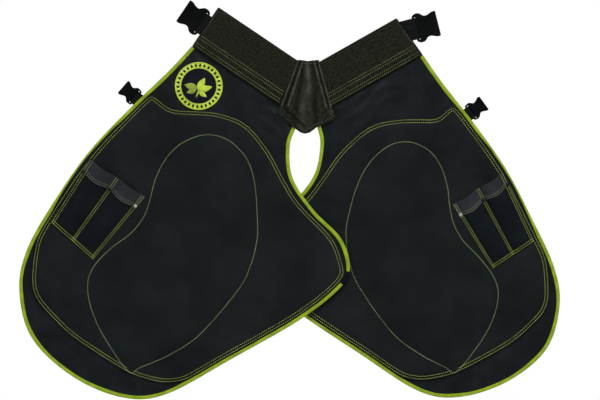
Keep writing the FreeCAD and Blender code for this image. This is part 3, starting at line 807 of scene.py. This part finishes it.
# ------------------------------------------------------------------ waistband
# Two lengths of wide woven elastic, doubled over a softer core, so that each half is a firm
# padded strap. They are olive black, with a close rib along their length.

BAND_TALL = 87.0
BAND_HALF = 3.5
TAPE_TALL = 27.0
GUSSET_TOP = {"left": (-19.4, 0.0), "right": (20.2, 0.0)}
GUSSET_LOW = {"left": (-50.9, -85.1), "right": (38.9, -88.8)}


def finish_elastic(name, dark, light, pitch, turn):
    """Woven elastic: narrow raised ribs, the yarn between them painted darker as painted shade,
    and a slight fuzz.
    """
    material, tree, shader, lay = new_finish(name)
    turned = node(tree, "ShaderNodeMapping", {"Rotation": (0, 0, turn)}, {"Vector": lay})
    parts = node(tree, "ShaderNodeSeparateXYZ", {}, {0: turned.outputs[0]})
    waves = []
    for axis, step in (("Y", pitch), ("X", pitch * 0.8)):
        wide = node(tree, "ShaderNodeMath", {"operation": "MULTIPLY", 1: 2 * math.pi / step},
                    {0: parts.outputs[axis]})
        waves.append(node(tree, "ShaderNodeMath", {"operation": "SINE"}, {0: wide.outputs[0]}))
    knit = node(tree, "ShaderNodeMath", {"operation": "MULTIPLY_ADD", 1: 0.4},
                {0: waves[1].outputs[0], 2: waves[0].outputs[0]})
    level = node(tree, "ShaderNodeMath", {"operation": "MULTIPLY_ADD", 1: 0.35, 2: 0.5},
                 {0: knit.outputs[0]})
    patch = node(tree, "ShaderNodeTexNoise", {"Scale": 0.28, "Detail": 4.0, "Roughness": 0.75},
                 {"Vector": lay})
    fuzz = node(tree, "ShaderNodeTexNoise", {"Scale": 1.2, "Detail": 3.0}, {"Vector": lay})
    # The colour is painted darker between the ribs: painted shade.
    ribs = dyed_and_shaded(tree, patch.outputs["Fac"], [(0.38, dark), (0.64, light)],
                level.outputs[0], [(0.1, "#909090"), (0.8, "#ffffff")], 0.8)
    # Above 0 the per-point attribute mixes in a lighter colour, wear and a painted highlight on
    # ridges; below 0 it darkens the colour, painted shade in valleys.
    wear_and_light_mask = node(tree, "ShaderNodeAttribute", {"attribute_name": "rub"})
    highlit_and_worn = node(tree, "ShaderNodeMix", {"data_type": "RGBA", 7: linear("#4a4d45")},
                  {0: wear_and_light_mask.outputs["Fac"], 6: ribs})
    depth = node(tree, "ShaderNodeMath", {"operation": "MULTIPLY_ADD", 1: 0.5, 2: 0.5},
                 {0: wear_and_light_mask.outputs["Fac"]})
    painted_valley_shade = node(tree, "ShaderNodeValToRGB", {"stops": [(0.0, "#5c5c5c"), (0.5, "#ffffff")]},
                  {"Fac": depth.outputs[0]}).outputs["Color"]
    shaded = node(tree, "ShaderNodeMix", {"data_type": "RGBA", "blend_type": "MULTIPLY", 0: 1.0},
                  {6: highlit_and_worn.outputs[2], 7: painted_valley_shade})
    tree.links.new(shaded.outputs[2], shader.inputs["Base Color"])
    relief = node(tree, "ShaderNodeMath", {"operation": "MULTIPLY_ADD", 1: 0.5},
                  {0: fuzz.outputs["Fac"], 2: level.outputs[0]})
    bump = node(tree, "ShaderNodeBump", {"Strength": 0.5, "Distance": 0.00045},
                {"Height": relief.outputs[0]})
    tree.links.new(bump.outputs["Normal"], shader.inputs["Normal"])
    rough = node(tree, "ShaderNodeMath", {"operation": "MULTIPLY_ADD", 1: 0.2, 2: 0.7},
                 {0: fuzz.outputs["Fac"]})
    tree.links.new(rough.outputs[0], shader.inputs["Roughness"])
    shader.inputs["Specular IOR Level"].default_value = 0.05
    return material


woven_elastic = finish_elastic("olive_black_woven_elastic", "#0e0f0a", "#292b21", 1.9, 0.0)
ribbed_tape = finish_elastic("olive_black_ribbed_tape", "#0f100b", "#282a20", 1.5, 0.0)


def to_side(side, x, z):
    t = math.radians(side["splay"])
    dx, dz = x - side["at"][0], z - side["at"][1]
    out = side["hand"] * -dx
    return (out * math.cos(t) + dz * math.sin(t), out * math.sin(t) - dz * math.cos(t))


def band_end(side, v):
    """How far out the band reaches; the right one's end leans in a little at its top."""
    return side["hand"] * lie(side, LEG_EDGE[:1])[0, 0] + side["slope"] * v / BAND_TALL


def band_corners(side, top, foot, tuck, short=0.0):
    """A stretch of the band between two heights, from the gusset to its outer end."""
    a, b = to_side(side, *GUSSET_TOP[side["name"]]), to_side(side, *GUSSET_LOW[side["name"]])
    ends = [band_end(side, v) - short for v in (foot, top)]
    inner = [b[0] + (a[0] - b[0]) * (v - b[1]) / (a[1] - b[1]) - tuck for v in (foot, top)]
    corners = [(inner[0], foot), (ends[0], foot), (ends[1], top), (inner[1], top)]
    return [(side["hand"] * u, v) for u, v in corners]


def rounded(corners, radius, step):
    """A closed run round the corners, each turned on a small arc."""
    run = []
    pts = np.asarray(corners, float)
    for before, here, after in zip(np.roll(pts, 1, 0), pts, np.roll(pts, -1, 0)):
        a = here + (before - here) / np.linalg.norm(before - here) * radius
        b = here + (after - here) / np.linalg.norm(after - here) * radius
        for t in np.linspace(0, 1, 5):
            run.append((1 - t) ** 2 * a + 2 * t * (1 - t) * here + t * t * b)
    run = np.array(run + run[:1])
    return even(run, step, True)


for side in SIDES.values():
    high = -BAND_TALL * side["down"]
    rim = rounded(band_corners(side, high, 0.0, 7.0), 2.5, 2.5)
    xy, tris = cut_cloth(rim, [], 3.6)
    deep = away(xy, [rim])
    full = BAND_HALF * np.sqrt(np.clip(1 - (1 - np.clip(deep / 4.0, 0, 1)) ** 2, 0.02, 1))
    ripple = 0.35 * np.sin(xy[:, 0] / 17 + xy[:, 1] / 40) * np.clip(deep / 12, 0, 1)
    band = shell(side["name"] + "_waistband", side, xy, tris, full + ripple - 0.35, -full,
                 woven_elastic, 0.0)
    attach(band, "waist")
    name = side["name"] + "_waistband_"
    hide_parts(name + "outer", name + "core", name + "lining")
    tape_high = -TAPE_TALL * side["down"]
    rim = rounded(band_corners(side, tape_high, -0.2, -2.0, 0.4), 1.2, 2.5)
    xy, tris = cut_cloth(rim, [], 3.6)
    deep = away(xy, [rim])
    rows = [tape_high + 2.2, tape_high + 7.8, -9.3 * side["down"], -3.7 * side["down"]]
    swell = np.min([abs(xy[:, 1] - v) for v in rows], axis=0)
    face = 3.3 + 1.1 * np.clip(deep / 1.5, 0.1, 1) ** 0.5 + 0.3 * np.clip(swell / 2.5, 0, 1)
    low = np.minimum(2.4, BAND_HALF * np.clip(-xy[:, 1] / 4.0, 0.1, 1))
    tape = shell(side["name"] + "_waist_tape", side, xy, tris, face, low, ribbed_tape, 0.0)
    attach(tape, "waist")
    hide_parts(name + "tape")
    runs = []
    for v in rows:
        ends = band_corners(side, v, v, -4.0, 3.0)[:2]
        line = even(np.array(ends), 4.0)
        runs.append(np.column_stack([line, np.full(len(line), 4.5)]))
    sewing = stitches(side["name"] + "_waist_tape_stitches", side, runs, olive_thread, 0.0)
    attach(sewing, "waist")
    closing = [[side["hand"] * (band_end(side, v) - 3.5), v, BAND_HALF - 0.35]
               for v in (high + 4, tape_high - 2)]
    sewing = stitches(side["name"] + "_waistband_end_stitches", side, [np.array(closing)],
                      grey_thread, 0.0)
    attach(sewing, "waist")

# ------------------------------------------------------------------ centre gusset
# A fan of the same elastic between the two halves, gathered at its top so that it falls in
# soft upright folds. It is double sewn down both sides, and its tip laps over both legs.

GUSSET = [
    (-19.4, 0.0), (-9.0, -0.6), (0.0, -2.2), (9.0, -0.8), (20.2, 0.0), (32.6, -44.4),
    (44.5, -88.8), (48.8, -97.0), (51.6, -104.0), (50.2, -109.2), (36.0, -117.0), (16.7, -124.0),
    (10.0, -129.5), (3.0, -134.5), (-5.6, -136.6), (-14.0, -134.2), (-21.0, -129.3),
    (-27.8, -124.0), (-42.5, -111.0), (-57.4, -98.0), (-54.0, -91.5), (-50.9, -85.1),
    (-35.0, -42.5),
]
gathered_elastic = finish_elastic("gathered_olive_elastic", "#10110c", "#2c2e25", 1.7, math.pi / 2)
centre = {"name": "centre", "hand": -1, "splay": 180.0, "at": (0.0, 0.0), "lean": 0.0}


def folds(xy):
    """The gathered folds, in mm: a broad one down the middle between two valleys, a smaller
    one beside it, and fine pleats that fan out from the top edge."""
    x, down = xy[:, 0], -xy[:, 1]
    mid = np.interp(down, [0, 20, 48, 90, 135], [-2.4, -1.0, 0.5, -8.0, -9.0])
    wide = 3.2 + 0.05 * down
    main = 2.1 * np.exp(-(((x - mid) / wide) ** 2)) * np.exp(-down / 150)
    beside = 0.9 * np.exp(-(((x - mid - 8 - down / 20) / 2.2) ** 2)) * np.exp(-down / 45)
    valleys = np.exp(-(((x - mid + 2.4 * wide) / 3.5) ** 2))
    valleys = valleys + np.exp(-(((x - mid - 2.6 * wide) / 3.5) ** 2))
    pleats = 0.3 * np.sin(60 * np.arctan2(x - 1.0, down + 75.0) + 0.4)
    return main + beside - 1.1 * valleys * np.exp(-down / 110) + pleats


def side_seam(name, hand, by_top, by_low):
    """A line down beside a side of the gusset, some mm inside its edge."""
    top, low = GUSSET_TOP[name], GUSSET_LOW[name]
    ends = [(top[0] + hand * by_top, -1.0), (low[0] + hand * by_low, low[1] + 1.0)]
    return even(np.array(ends, float), 2.5)


rim = even(np.vstack([np.array(GUSSET), GUSSET[:1]]), 2.5, True)
felled = [side_seam("left", 1, 1.8, 2.2), side_seam("left", 1, 10.5, 14.0),
          side_seam("right", -1, 1.8, -3.4), side_seam("right", -1, 9.0, 4.9)]
troughs = [side_seam("left", 1, 6.0, 8.0), side_seam("right", -1, 5.4, 0.8),
           even(np.array([(-46.0, -88.0), (-33.0, -99.0), (-21.0, -111.0), (-8.0, -121.0)]), 2.5)]
xy, tris = cut_cloth(rim, [], 2.3)
deep, raised, sunk = away(xy, [rim]), away(xy, felled), away(xy, troughs)
ease = np.clip(raised / 6, 0, 1) * np.clip(deep / 6, 0.15, 1)
ridge = np.exp(-((raised / 1.7) ** 2))
face = 4.9 + 0.6 * np.clip(deep / 3, 0, 1) + folds(xy) * ease
face = face + 1.3 * ridge - 0.9 * np.exp(-((sunk / 1.6) ** 2))
# The colour is made lighter on the raised seams and fold crests, partly wear and partly a painted
# highlight, and darker in the fold valleys and troughs, as painted shade.
crest = np.clip(folds(xy) / 1.7, 0, 1) ** 1.5 * ease
wear_and_light_mask = np.clip(0.8 * ridge + 0.65 * crest, 0, 1) * (0.75 + 0.25 * np.sin(xy[:, 1] / 5))
low = np.clip(-folds(xy) / 1.3, 0, 1) * ease + np.exp(-((sunk / 2.2) ** 2))
wear_and_light_mask = wear_and_light_mask - 0.85 * np.clip(low, 0, 1) * (1 - ridge)
gusset = shell("gusset_fan", centre, xy, tris, face, face - 1.9, gathered_elastic, rub=wear_and_light_mask)
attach(gusset, "waist")
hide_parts("gusset_front")
back_face = -3.6 - 0.3 * np.clip(deep / 4, 0, 1) + 0.3 * folds(xy) * ease
lining = shell("gusset_back", centre, xy * [1, 0.97], tris, back_face, back_face - 1.6,
               gathered_elastic)
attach(lining, "waist")
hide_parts("gusset_lining")
runs = []
for line in felled:
    runs.append(np.column_stack([line, np.full(len(line), 6.6)]))
hem = even(np.array([(-15.0, -7.0), (16.0, -7.0)]), 2.5)
runs.append(np.column_stack([hem, 5.7 + folds(hem) * 0.9]))
tip = even(np.array([(48.0, -103.0), (33.0, -112.0), (14.0, -119.5), (3.0, -126.0),
                     (-5.6, -131.5), (-14.0, -127.0)]), 3.0)
runs.append(np.column_stack([tip, 5.6 + 0.7 * folds(tip)]))
tack = [(38.0, -96.0), (45.0, -92.5), (47.0, -97.0), (40.0, -100.5), (46.0, -101.5)]
runs.append(np.column_stack([np.array(tack), np.full(5, 5.7)]))
sewing = stitches("gusset_stitches", centre, runs, grey_thread)
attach(sewing, "waist")

# ------------------------------------------------------------------ badge
# An embroidered patch: a lime satin ring and leaf on black twill, with a thin lime rim. The
# motif is a plain leaf, and the ring has no lettering.

BADGE_AT = (146.6, 54.6)
BADGE_R = 43.6
RING_IN = 33.2


def finish_satin(name, low, high):
    """Satin stitch: fine parallel threads with a silky shine, over dark twill. The colour is
    painted darker between the threads as painted shade.
    """
    material, tree, shader, lay = new_finish(name)
    parts = node(tree, "ShaderNodeSeparateXYZ", {}, {0: lay})
    run = node(tree, "ShaderNodeMath", {"operation": "MULTIPLY", 1: 2 * math.pi / 1.0},
               {0: parts.outputs["X"]})
    thread = node(tree, "ShaderNodeMath", {"operation": "SINE"}, {0: run.outputs[0]})
    level = node(tree, "ShaderNodeMath", {"operation": "MULTIPLY_ADD", 1: 0.5, 2: 0.5},
                 {0: thread.outputs[0]})
    patch = node(tree, "ShaderNodeTexNoise", {"Scale": 0.12, "Detail": 3.0}, {"Vector": lay})
    # The colour is painted darker between the threads: painted shade.
    rows = dyed_and_shaded(tree, patch.outputs["Fac"], [(0.3, low), (0.7, high)],
                level.outputs[0], [(0.0, "#a8a8a8"), (0.7, "#ffffff")], 0.7)
    tree.links.new(rows, shader.inputs["Base Color"])
    bump = node(tree, "ShaderNodeBump", {"Strength": 0.5, "Distance": 0.0003},
                {"Height": level.outputs[0]})
    tree.links.new(bump.outputs["Normal"], shader.inputs["Normal"])
    shader.inputs["Roughness"].default_value = 0.42
    shader.inputs["Sheen Weight"].default_value = 0.2
    return material


satin = finish_satin("embroidered_lime_satin", "#9db81a", "#bfd838")
dull_satin = finish_satin("embroidered_moss_satin", "#6d8412", "#8a9f22")
twill = finish_canvas("black_twill", "#0f1118", "#14161e", "#191b24", 1.0, 0.7)
left = SIDES["left"]
turn = np.linspace(0, 2 * math.pi, 96, endpoint=False)
ring = np.stack([np.cos(turn), np.sin(turn)], 1)
spot = np.array(BADGE_AT)
xy, tris = cut_cloth(spot + ring * BADGE_R, [], 4.0)
wave = sway(left, xy)
disc = shell("badge_patch", left, xy, tris, wave + 1.75, wave + 0.6, twill)
hang(disc)
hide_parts("left_badge")


def satin_band(name, outer, inner, height):
    """A raised ring of satin stitch between two radii."""
    across = np.linspace(0, 1, 7)
    rings = []
    for a in turn:
        radii = outer + (inner - outer) * across
        rise = height * np.sqrt(np.clip(1 - (2 * across - 1) ** 4, 0, 1))
        top = [(spot[0] + r * math.cos(a), spot[1] + r * math.sin(a), 1.7 + h)
               for r, h in zip(radii, rise)]
        rings.append(top)
    rings = np.array(rings)
    flat = rings.reshape(-1, 3)
    level = sway(left, flat[:, :2]) + flat[:, 2]
    n = len(across)
    faces = []
    for i in range(len(turn)):
        for j in range(n - 1):
            k = (i + 1) % len(turn)
            faces.append((i * n + j, k * n + j, k * n + j + 1, i * n + j + 1))
    lay = np.stack([np.repeat(turn, n) * (outer + inner) / 2, np.tile(across, len(turn)) * 8,
                    flat[:, 2]], 1)
    piece = mesh_piece(name, stand(left, flat[:, :2], level), faces, lay, satin)
    hang(piece)
    return piece


satin_band("badge_ring", BADGE_R - 0.4, RING_IN, 1.0)
satin_band("badge_outer_cord", BADGE_R + 0.7, BADGE_R - 1.6, 1.7)
satin_band("badge_inner_cord", RING_IN + 1.6, RING_IN - 0.6, 1.7)


def petal(name, at, long, wide, turn, finish, level=1.8):
    """A pointed oval of satin stitch, crowned along its middle."""
    t = np.linspace(0, 1, 14)
    half = wide / 2 * np.sin(math.pi * t ** 0.85)
    outline = np.vstack([np.stack([half, t * long], 1), np.stack([-half, t * long], 1)[-2:0:-1]])
    rim = even(np.vstack([outline, outline[:1]]), 1.3, True)
    xy, tris = cut_cloth(rim, [], 1.5)
    crown = 1.1 * np.clip(away(xy, [rim]) / (wide * 0.35), 0, 1) ** 0.6
    c, d = math.cos(turn), math.sin(turn)
    placed = xy @ np.array([[c, d], [-d, c]]) + spot + at
    wave = sway(left, placed)
    made = shell(name, left, placed, tris, wave + level + crown, wave + 1.4, finish)
    hang(made)


# a ring of small dark lozenges and a sprig of five leaves, in place of any wording or figure
for i in range(30):
    a = 2 * math.pi * i / 30
    at = np.array([math.cos(a), math.sin(a)]) * (RING_IN + 1.9)
    petal(f"badge_lozenge_{i + 1}", at, 6.8, 4.6, a - math.pi / 2, twill, 2.75)


def upright(x, y):
    """A step to the right and up, as the badge is seen, turned into the leg's own plane."""
    t = math.radians(left["splay"])
    return np.array([-math.cos(t) * x + math.sin(t) * y, -math.sin(t) * x - math.cos(t) * y])


for i, (x, y, degrees, long, wide, dull) in enumerate([
    (-2.0, -4.0, 165.0, 26.0, 13.0, True), (-4.0, -6.0, 200.0, 20.0, 10.0, True),
    (-2.0, -8.0, 60.0, 27.0, 13.0, False), (0.0, -8.0, 15.0, 26.0, 12.0, False),
    (0.0, -10.0, -35.0, 18.0, 9.0, False), (1.0, -6.0, 248.0, 17.0, 3.0, False),
]):
    ahead = upright(math.cos(math.radians(degrees)), math.sin(math.radians(degrees)))
    petal(f"badge_leaf_{i + 1}", upright(x, y), long, wide, math.atan2(-ahead[0], ahead[1]),
          dull_satin if dull else satin)

# ------------------------------------------------------------------ edge label
# A black satin-woven tab, folded over the binding at the left leg's tip. The two short rows that
# sew it down are not drawn. It is left plain.

label_cloth = finish_elastic("black_satin_tab", "#0b0c0e", "#15171a", 0.8, 0.0)
line = leg_line(left, 0.0, 1.0)
near = int(np.argmin(np.linalg.norm(line - [-279.0, 196.0], axis=1)))
line = line[near - 14 : near + 15]
WRAP = [
    (8.0, 3.4), (5.5, 3.2), (3.0, 3.0), (1.0, 2.7), (-0.5, 1.7), (-0.9, 0.0), (-0.5, -1.7),
    (1.0, -2.6), (3.0, -2.8), (5.5, -2.7), (8.0, -2.4), (8.0, -2.0), (5.5, -2.2), (3.0, -2.3),
    (1.2, -2.1), (0.1, -1.5), (-0.2, 0.0), (0.1, 1.5), (1.2, 2.2), (3.0, 2.5), (5.5, 2.7),
    (8.0, 2.9),
]
wave = sway(left, line)
rings = np.stack([np.column_stack([inset(line, a), wave + b]) for a, b in WRAP], 1)
tab = sweep("edge_label_tab", left, rings, label_cloth, np.arange(len(line)) * 1.0,
            np.linspace(0, 24, len(WRAP)))
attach(tab, "left_leg")
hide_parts("left_edge_label")

# ------------------------------------------------------------------ webbing loops
# Short lengths of black nylon webbing, folded round the bar of each buckle, their two ends
# laid together and sewn in under the edge that holds them.

webbing = finish_elastic("black_nylon_webbing", "#0b0c0d", "#17191b", 1.3, math.pi / 2)
BAR = {"waist": 2.0, "thigh": 1.8}
WEB = {"waist": 40.0, "thigh": 25.0}
WEB_REACH = 7.0               # mm from the sewn edge to the bar
SOCKET_HALF = 26.5            # half a waist socket's width where it flares
SPOTS = {
    ("left", "waist"): (-45.0, 0.0, 0.0), ("right", "waist"): (-49.0, 15.3, 0.0),
    ("left", "thigh"): (137.8, -6.9, -3.25), ("right", "thigh"): (136.5, -7.0, -3.25),
}


def strap_spot(side, kind):
    """Where the buckle's bar is: u, v and w in mm, and how the strap is turned."""
    v, turned, w = SPOTS[side["name"], kind]
    reach = WEB_REACH
    if kind == "waist":
        slant = abs(math.sin(math.radians(turned))) + side["slope"] / BAND_TALL
        reach += slant * SOCKET_HALF
        return band_end(side, v) + reach, v, w, turned
    edge = smooth(lie(side, LEG_EDGE[:5]), 1.0)
    u = abs(np.interp(v, edge[:, 1], edge[:, 0])) + reach
    return u, v, w, turned


def strap_points(side, kind, flat):
    """Points drawn along the strap (a, b, c) as x, y, w of the side's plane."""
    u, v, w, turned = strap_spot(side, kind)
    t = math.radians(turned)
    a, b, c = np.asarray(flat, float).T
    x = u + a * math.cos(t) - b * math.sin(t)
    y = v + a * math.sin(t) + b * math.cos(t)
    return np.stack([side["hand"] * x, y, w + c], 1)


for (side_name, kind), _ in SPOTS.items():
    side = SIDES[side_name]
    lean = 0.0 if kind == "waist" else side["lean"]
    inner = BAR[kind] + 0.35
    outer = inner + 1.3
    u, v = strap_spot(side, kind)[:2]
    back = band_end(side, v) - u - 15.0 if kind == "waist" else -24.0
    bend = np.linspace(math.pi / 2, -math.pi / 2, 11)
    ring_out = [(back, 1.35), (-9.0, 1.35), (-6.0, 1.6), (-2.5, outer - 0.5)]
    ring_out += [((BAR[kind] + 2.95) * math.cos(t), outer * math.sin(t)) for t in bend]
    ring_out += [(a, -c) for a, c in ring_out[3::-1]]
    ring_in = [(-5.5, -0.02), (-2.5, -inner + 0.9)]
    ring_in += [((BAR[kind] + 1.2) * math.cos(t), inner * math.sin(t)) for t in bend[::-1]]
    ring_in += [(-2.5, inner - 0.9), (-5.5, 0.02)]
    section = np.array(ring_out + [(back, -0.02)] + ring_in + [(back, 0.02)])
    half = WEB[kind] / 2
    marks = np.array([-half, -half + 0.5] + list(np.linspace(-half + 2, half - 2, 11))
                     + [half - 0.5, half])
    rings = []
    for b in marks:
        thin = 0.75 if abs(b) > half - 0.2 else 1.0
        flat = np.column_stack([section[:, 0], np.full(len(section), b), section[:, 1] * thin])
        rings.append(strap_points(side, kind, flat))
    rings = np.array(rings)
    if side["hand"] > 0:
        rings = rings[:, ::-1]
    loop = sweep(f"{side_name}_{kind}_loop", side, rings, webbing, marks,
                 np.linspace(0, 60, len(section)), lean)
    body = "waist" if kind == "waist" else side_name + "_leg"
    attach(loop, body)
    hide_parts(f"{side_name}_{kind}_web_loop")
    long = (abs(back) * 2 + 14) / 1000

# ------------------------------------------------------------------ buckles
# Side-release sockets moulded in black acetal. Their edges are rounded where the mould parts,
# and the faces have a faint spark-eroded texture that keeps the shine soft.


def finish_acetal():
    """Moulded acetal: deep black with a soft waxy gloss over a very fine texture."""
    material, tree, shader, _ = new_finish("moulded_black_acetal")
    where = node(tree, "ShaderNodeTexCoord")
    fine = node(tree, "ShaderNodeTexNoise", {"Scale": 1500.0, "Detail": 2.0},
                {"Vector": where.outputs["Object"]})
    broad = node(tree, "ShaderNodeTexNoise", {"Scale": 60.0, "Detail": 3.0},
                 {"Vector": where.outputs["Object"]})
    colour = node(tree, "ShaderNodeValToRGB", {"stops": [(0.3, "#030404"), (0.7, "#08090a")]},
                  {"Fac": broad.outputs["Fac"]}).outputs["Color"]
    tree.links.new(colour, shader.inputs["Base Color"])
    level = node(tree, "ShaderNodeMath", {"operation": "MULTIPLY_ADD", 1: 0.22, 2: 0.33},
                 {0: broad.outputs["Fac"]})
    tree.links.new(level.outputs[0], shader.inputs["Roughness"])
    bump = node(tree, "ShaderNodeBump", {"Strength": 0.15, "Distance": 0.0001},
                {"Height": fine.outputs["Fac"]})
    tree.links.new(bump.outputs["Normal"], shader.inputs["Normal"])
    shader.inputs["IOR"].default_value = 1.48
    shader.inputs["Specular IOR Level"].default_value = 0.05
    return material


acetal = finish_acetal()
for side_name in SIDES:
    for kind, voxel in (("waist", 0.0007), ("thigh", 0.0006)):
        node_name = f"{side_name}_{kind}_buckle"
        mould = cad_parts[node_name]
        mesh = mould.data.copy()
        socket = bpy.data.objects.new(node_name + "_moulding", mesh)
        bpy.context.scene.collection.objects.link(socket)
        mesh.materials.clear()
        mesh.materials.append(acetal)
        remesh = socket.modifiers.new("mould", "REMESH")
        remesh.mode = "VOXEL"
        remesh.voxel_size = voxel
        remesh.use_smooth_shade = True
        soften = socket.modifiers.new("rounding", "SMOOTH")
        soften.factor = 0.6
        soften.iterations = 3
        made = socket.evaluated_get(bpy.context.evaluated_depsgraph_get())
        final = bpy.data.meshes.new_from_object(made)
        socket.modifiers.clear()
        socket.data = final
        final.materials.clear()
        final.materials.append(acetal)
        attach(socket, node_name)
        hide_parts(node_name)

# ------------------------------------------------------------------ studio
# A pale floor below the apron, which hangs by its waist, and large soft lamps. The camera
# looks straight on through a long lens.

FLOOR = -0.9                  # metres, below the waist
EYE_BACK = 6.0
VIEW_WIDE = 1.11

floor_mesh = bpy.data.meshes.new("floor")
corners = [(x, y, FLOOR) for x, y in ((-2.2, -2.2), (2.2, -2.2), (2.2, 2.2), (-2.2, 2.2))]
floor_mesh.from_pydata(corners, [], [(0, 1, 2, 3)])
floor = bpy.data.objects.new("floor", floor_mesh)
bpy.context.scene.collection.objects.link(floor)
paint, tree, shader, _ = new_finish("pale_floor_paint")
grit = node(tree, "ShaderNodeTexNoise", {"Scale": 3.0, "Detail": 2.0})
shade = node(tree, "ShaderNodeValToRGB", {"stops": [(0.3, "#e9e9e8"), (0.7, "#f0f0ef")]},
             {"Fac": grit.outputs["Fac"]})
tree.links.new(shade.outputs["Color"], shader.inputs["Base Color"])
shader.inputs["Roughness"].default_value = 0.8
floor_mesh.materials.append(paint)

world = bpy.data.worlds.new("studio")
bpy.context.scene.world = world
world.use_nodes = True
seen = node(world.node_tree, "ShaderNodeLightPath")
sky = world.node_tree.nodes["Background"]
sky.inputs["Color"].default_value = (1.0, 1.0, 1.0, 1.0)
glow = node(world.node_tree, "ShaderNodeMath", {"operation": "MULTIPLY_ADD", 1: 0.62, 2: 0.38},
            {0: seen.outputs["Is Camera Ray"]})
world.node_tree.links.new(glow.outputs[0], sky.inputs["Strength"])


def lamp(name, place, size, power, aim=(0.0, 0.0, -0.35)):
    light = bpy.data.lights.new(name, "AREA")
    light.shape = "RECTANGLE"
    light.size, light.size_y = size
    light.energy = power
    made = bpy.data.objects.new(name, light)
    made.location = place
    made.rotation_euler = (Vector(aim) - Vector(place)).to_track_quat("-Z", "Y").to_euler()
    bpy.context.scene.collection.objects.link(made)


lamp("key", (0.9, -1.8, 2.0), (1.3, 0.8), 84.0)
lamp("fill", (-2.2, -2.0, 0.2), (1.4, 1.8), 20.0)
lamp("back", (0.4, 2.4, 1.2), (1.8, 1.2), 40.0)

camera = bpy.data.cameras.new("camera")
camera.sensor_width = 36.0
camera.lens = camera.sensor_width * EYE_BACK / VIEW_WIDE
camera.clip_end = 50.0
eye = bpy.data.objects.new("camera", camera)
eye.location = (-0.0148, -EYE_BACK, -0.259)
eye.rotation_euler = (math.pi / 2, 0.0, 0.0)
bpy.context.scene.collection.objects.link(eye)
bpy.context.scene.camera = eye
bpy.context.scene.view_settings.view_transform = "Standard"
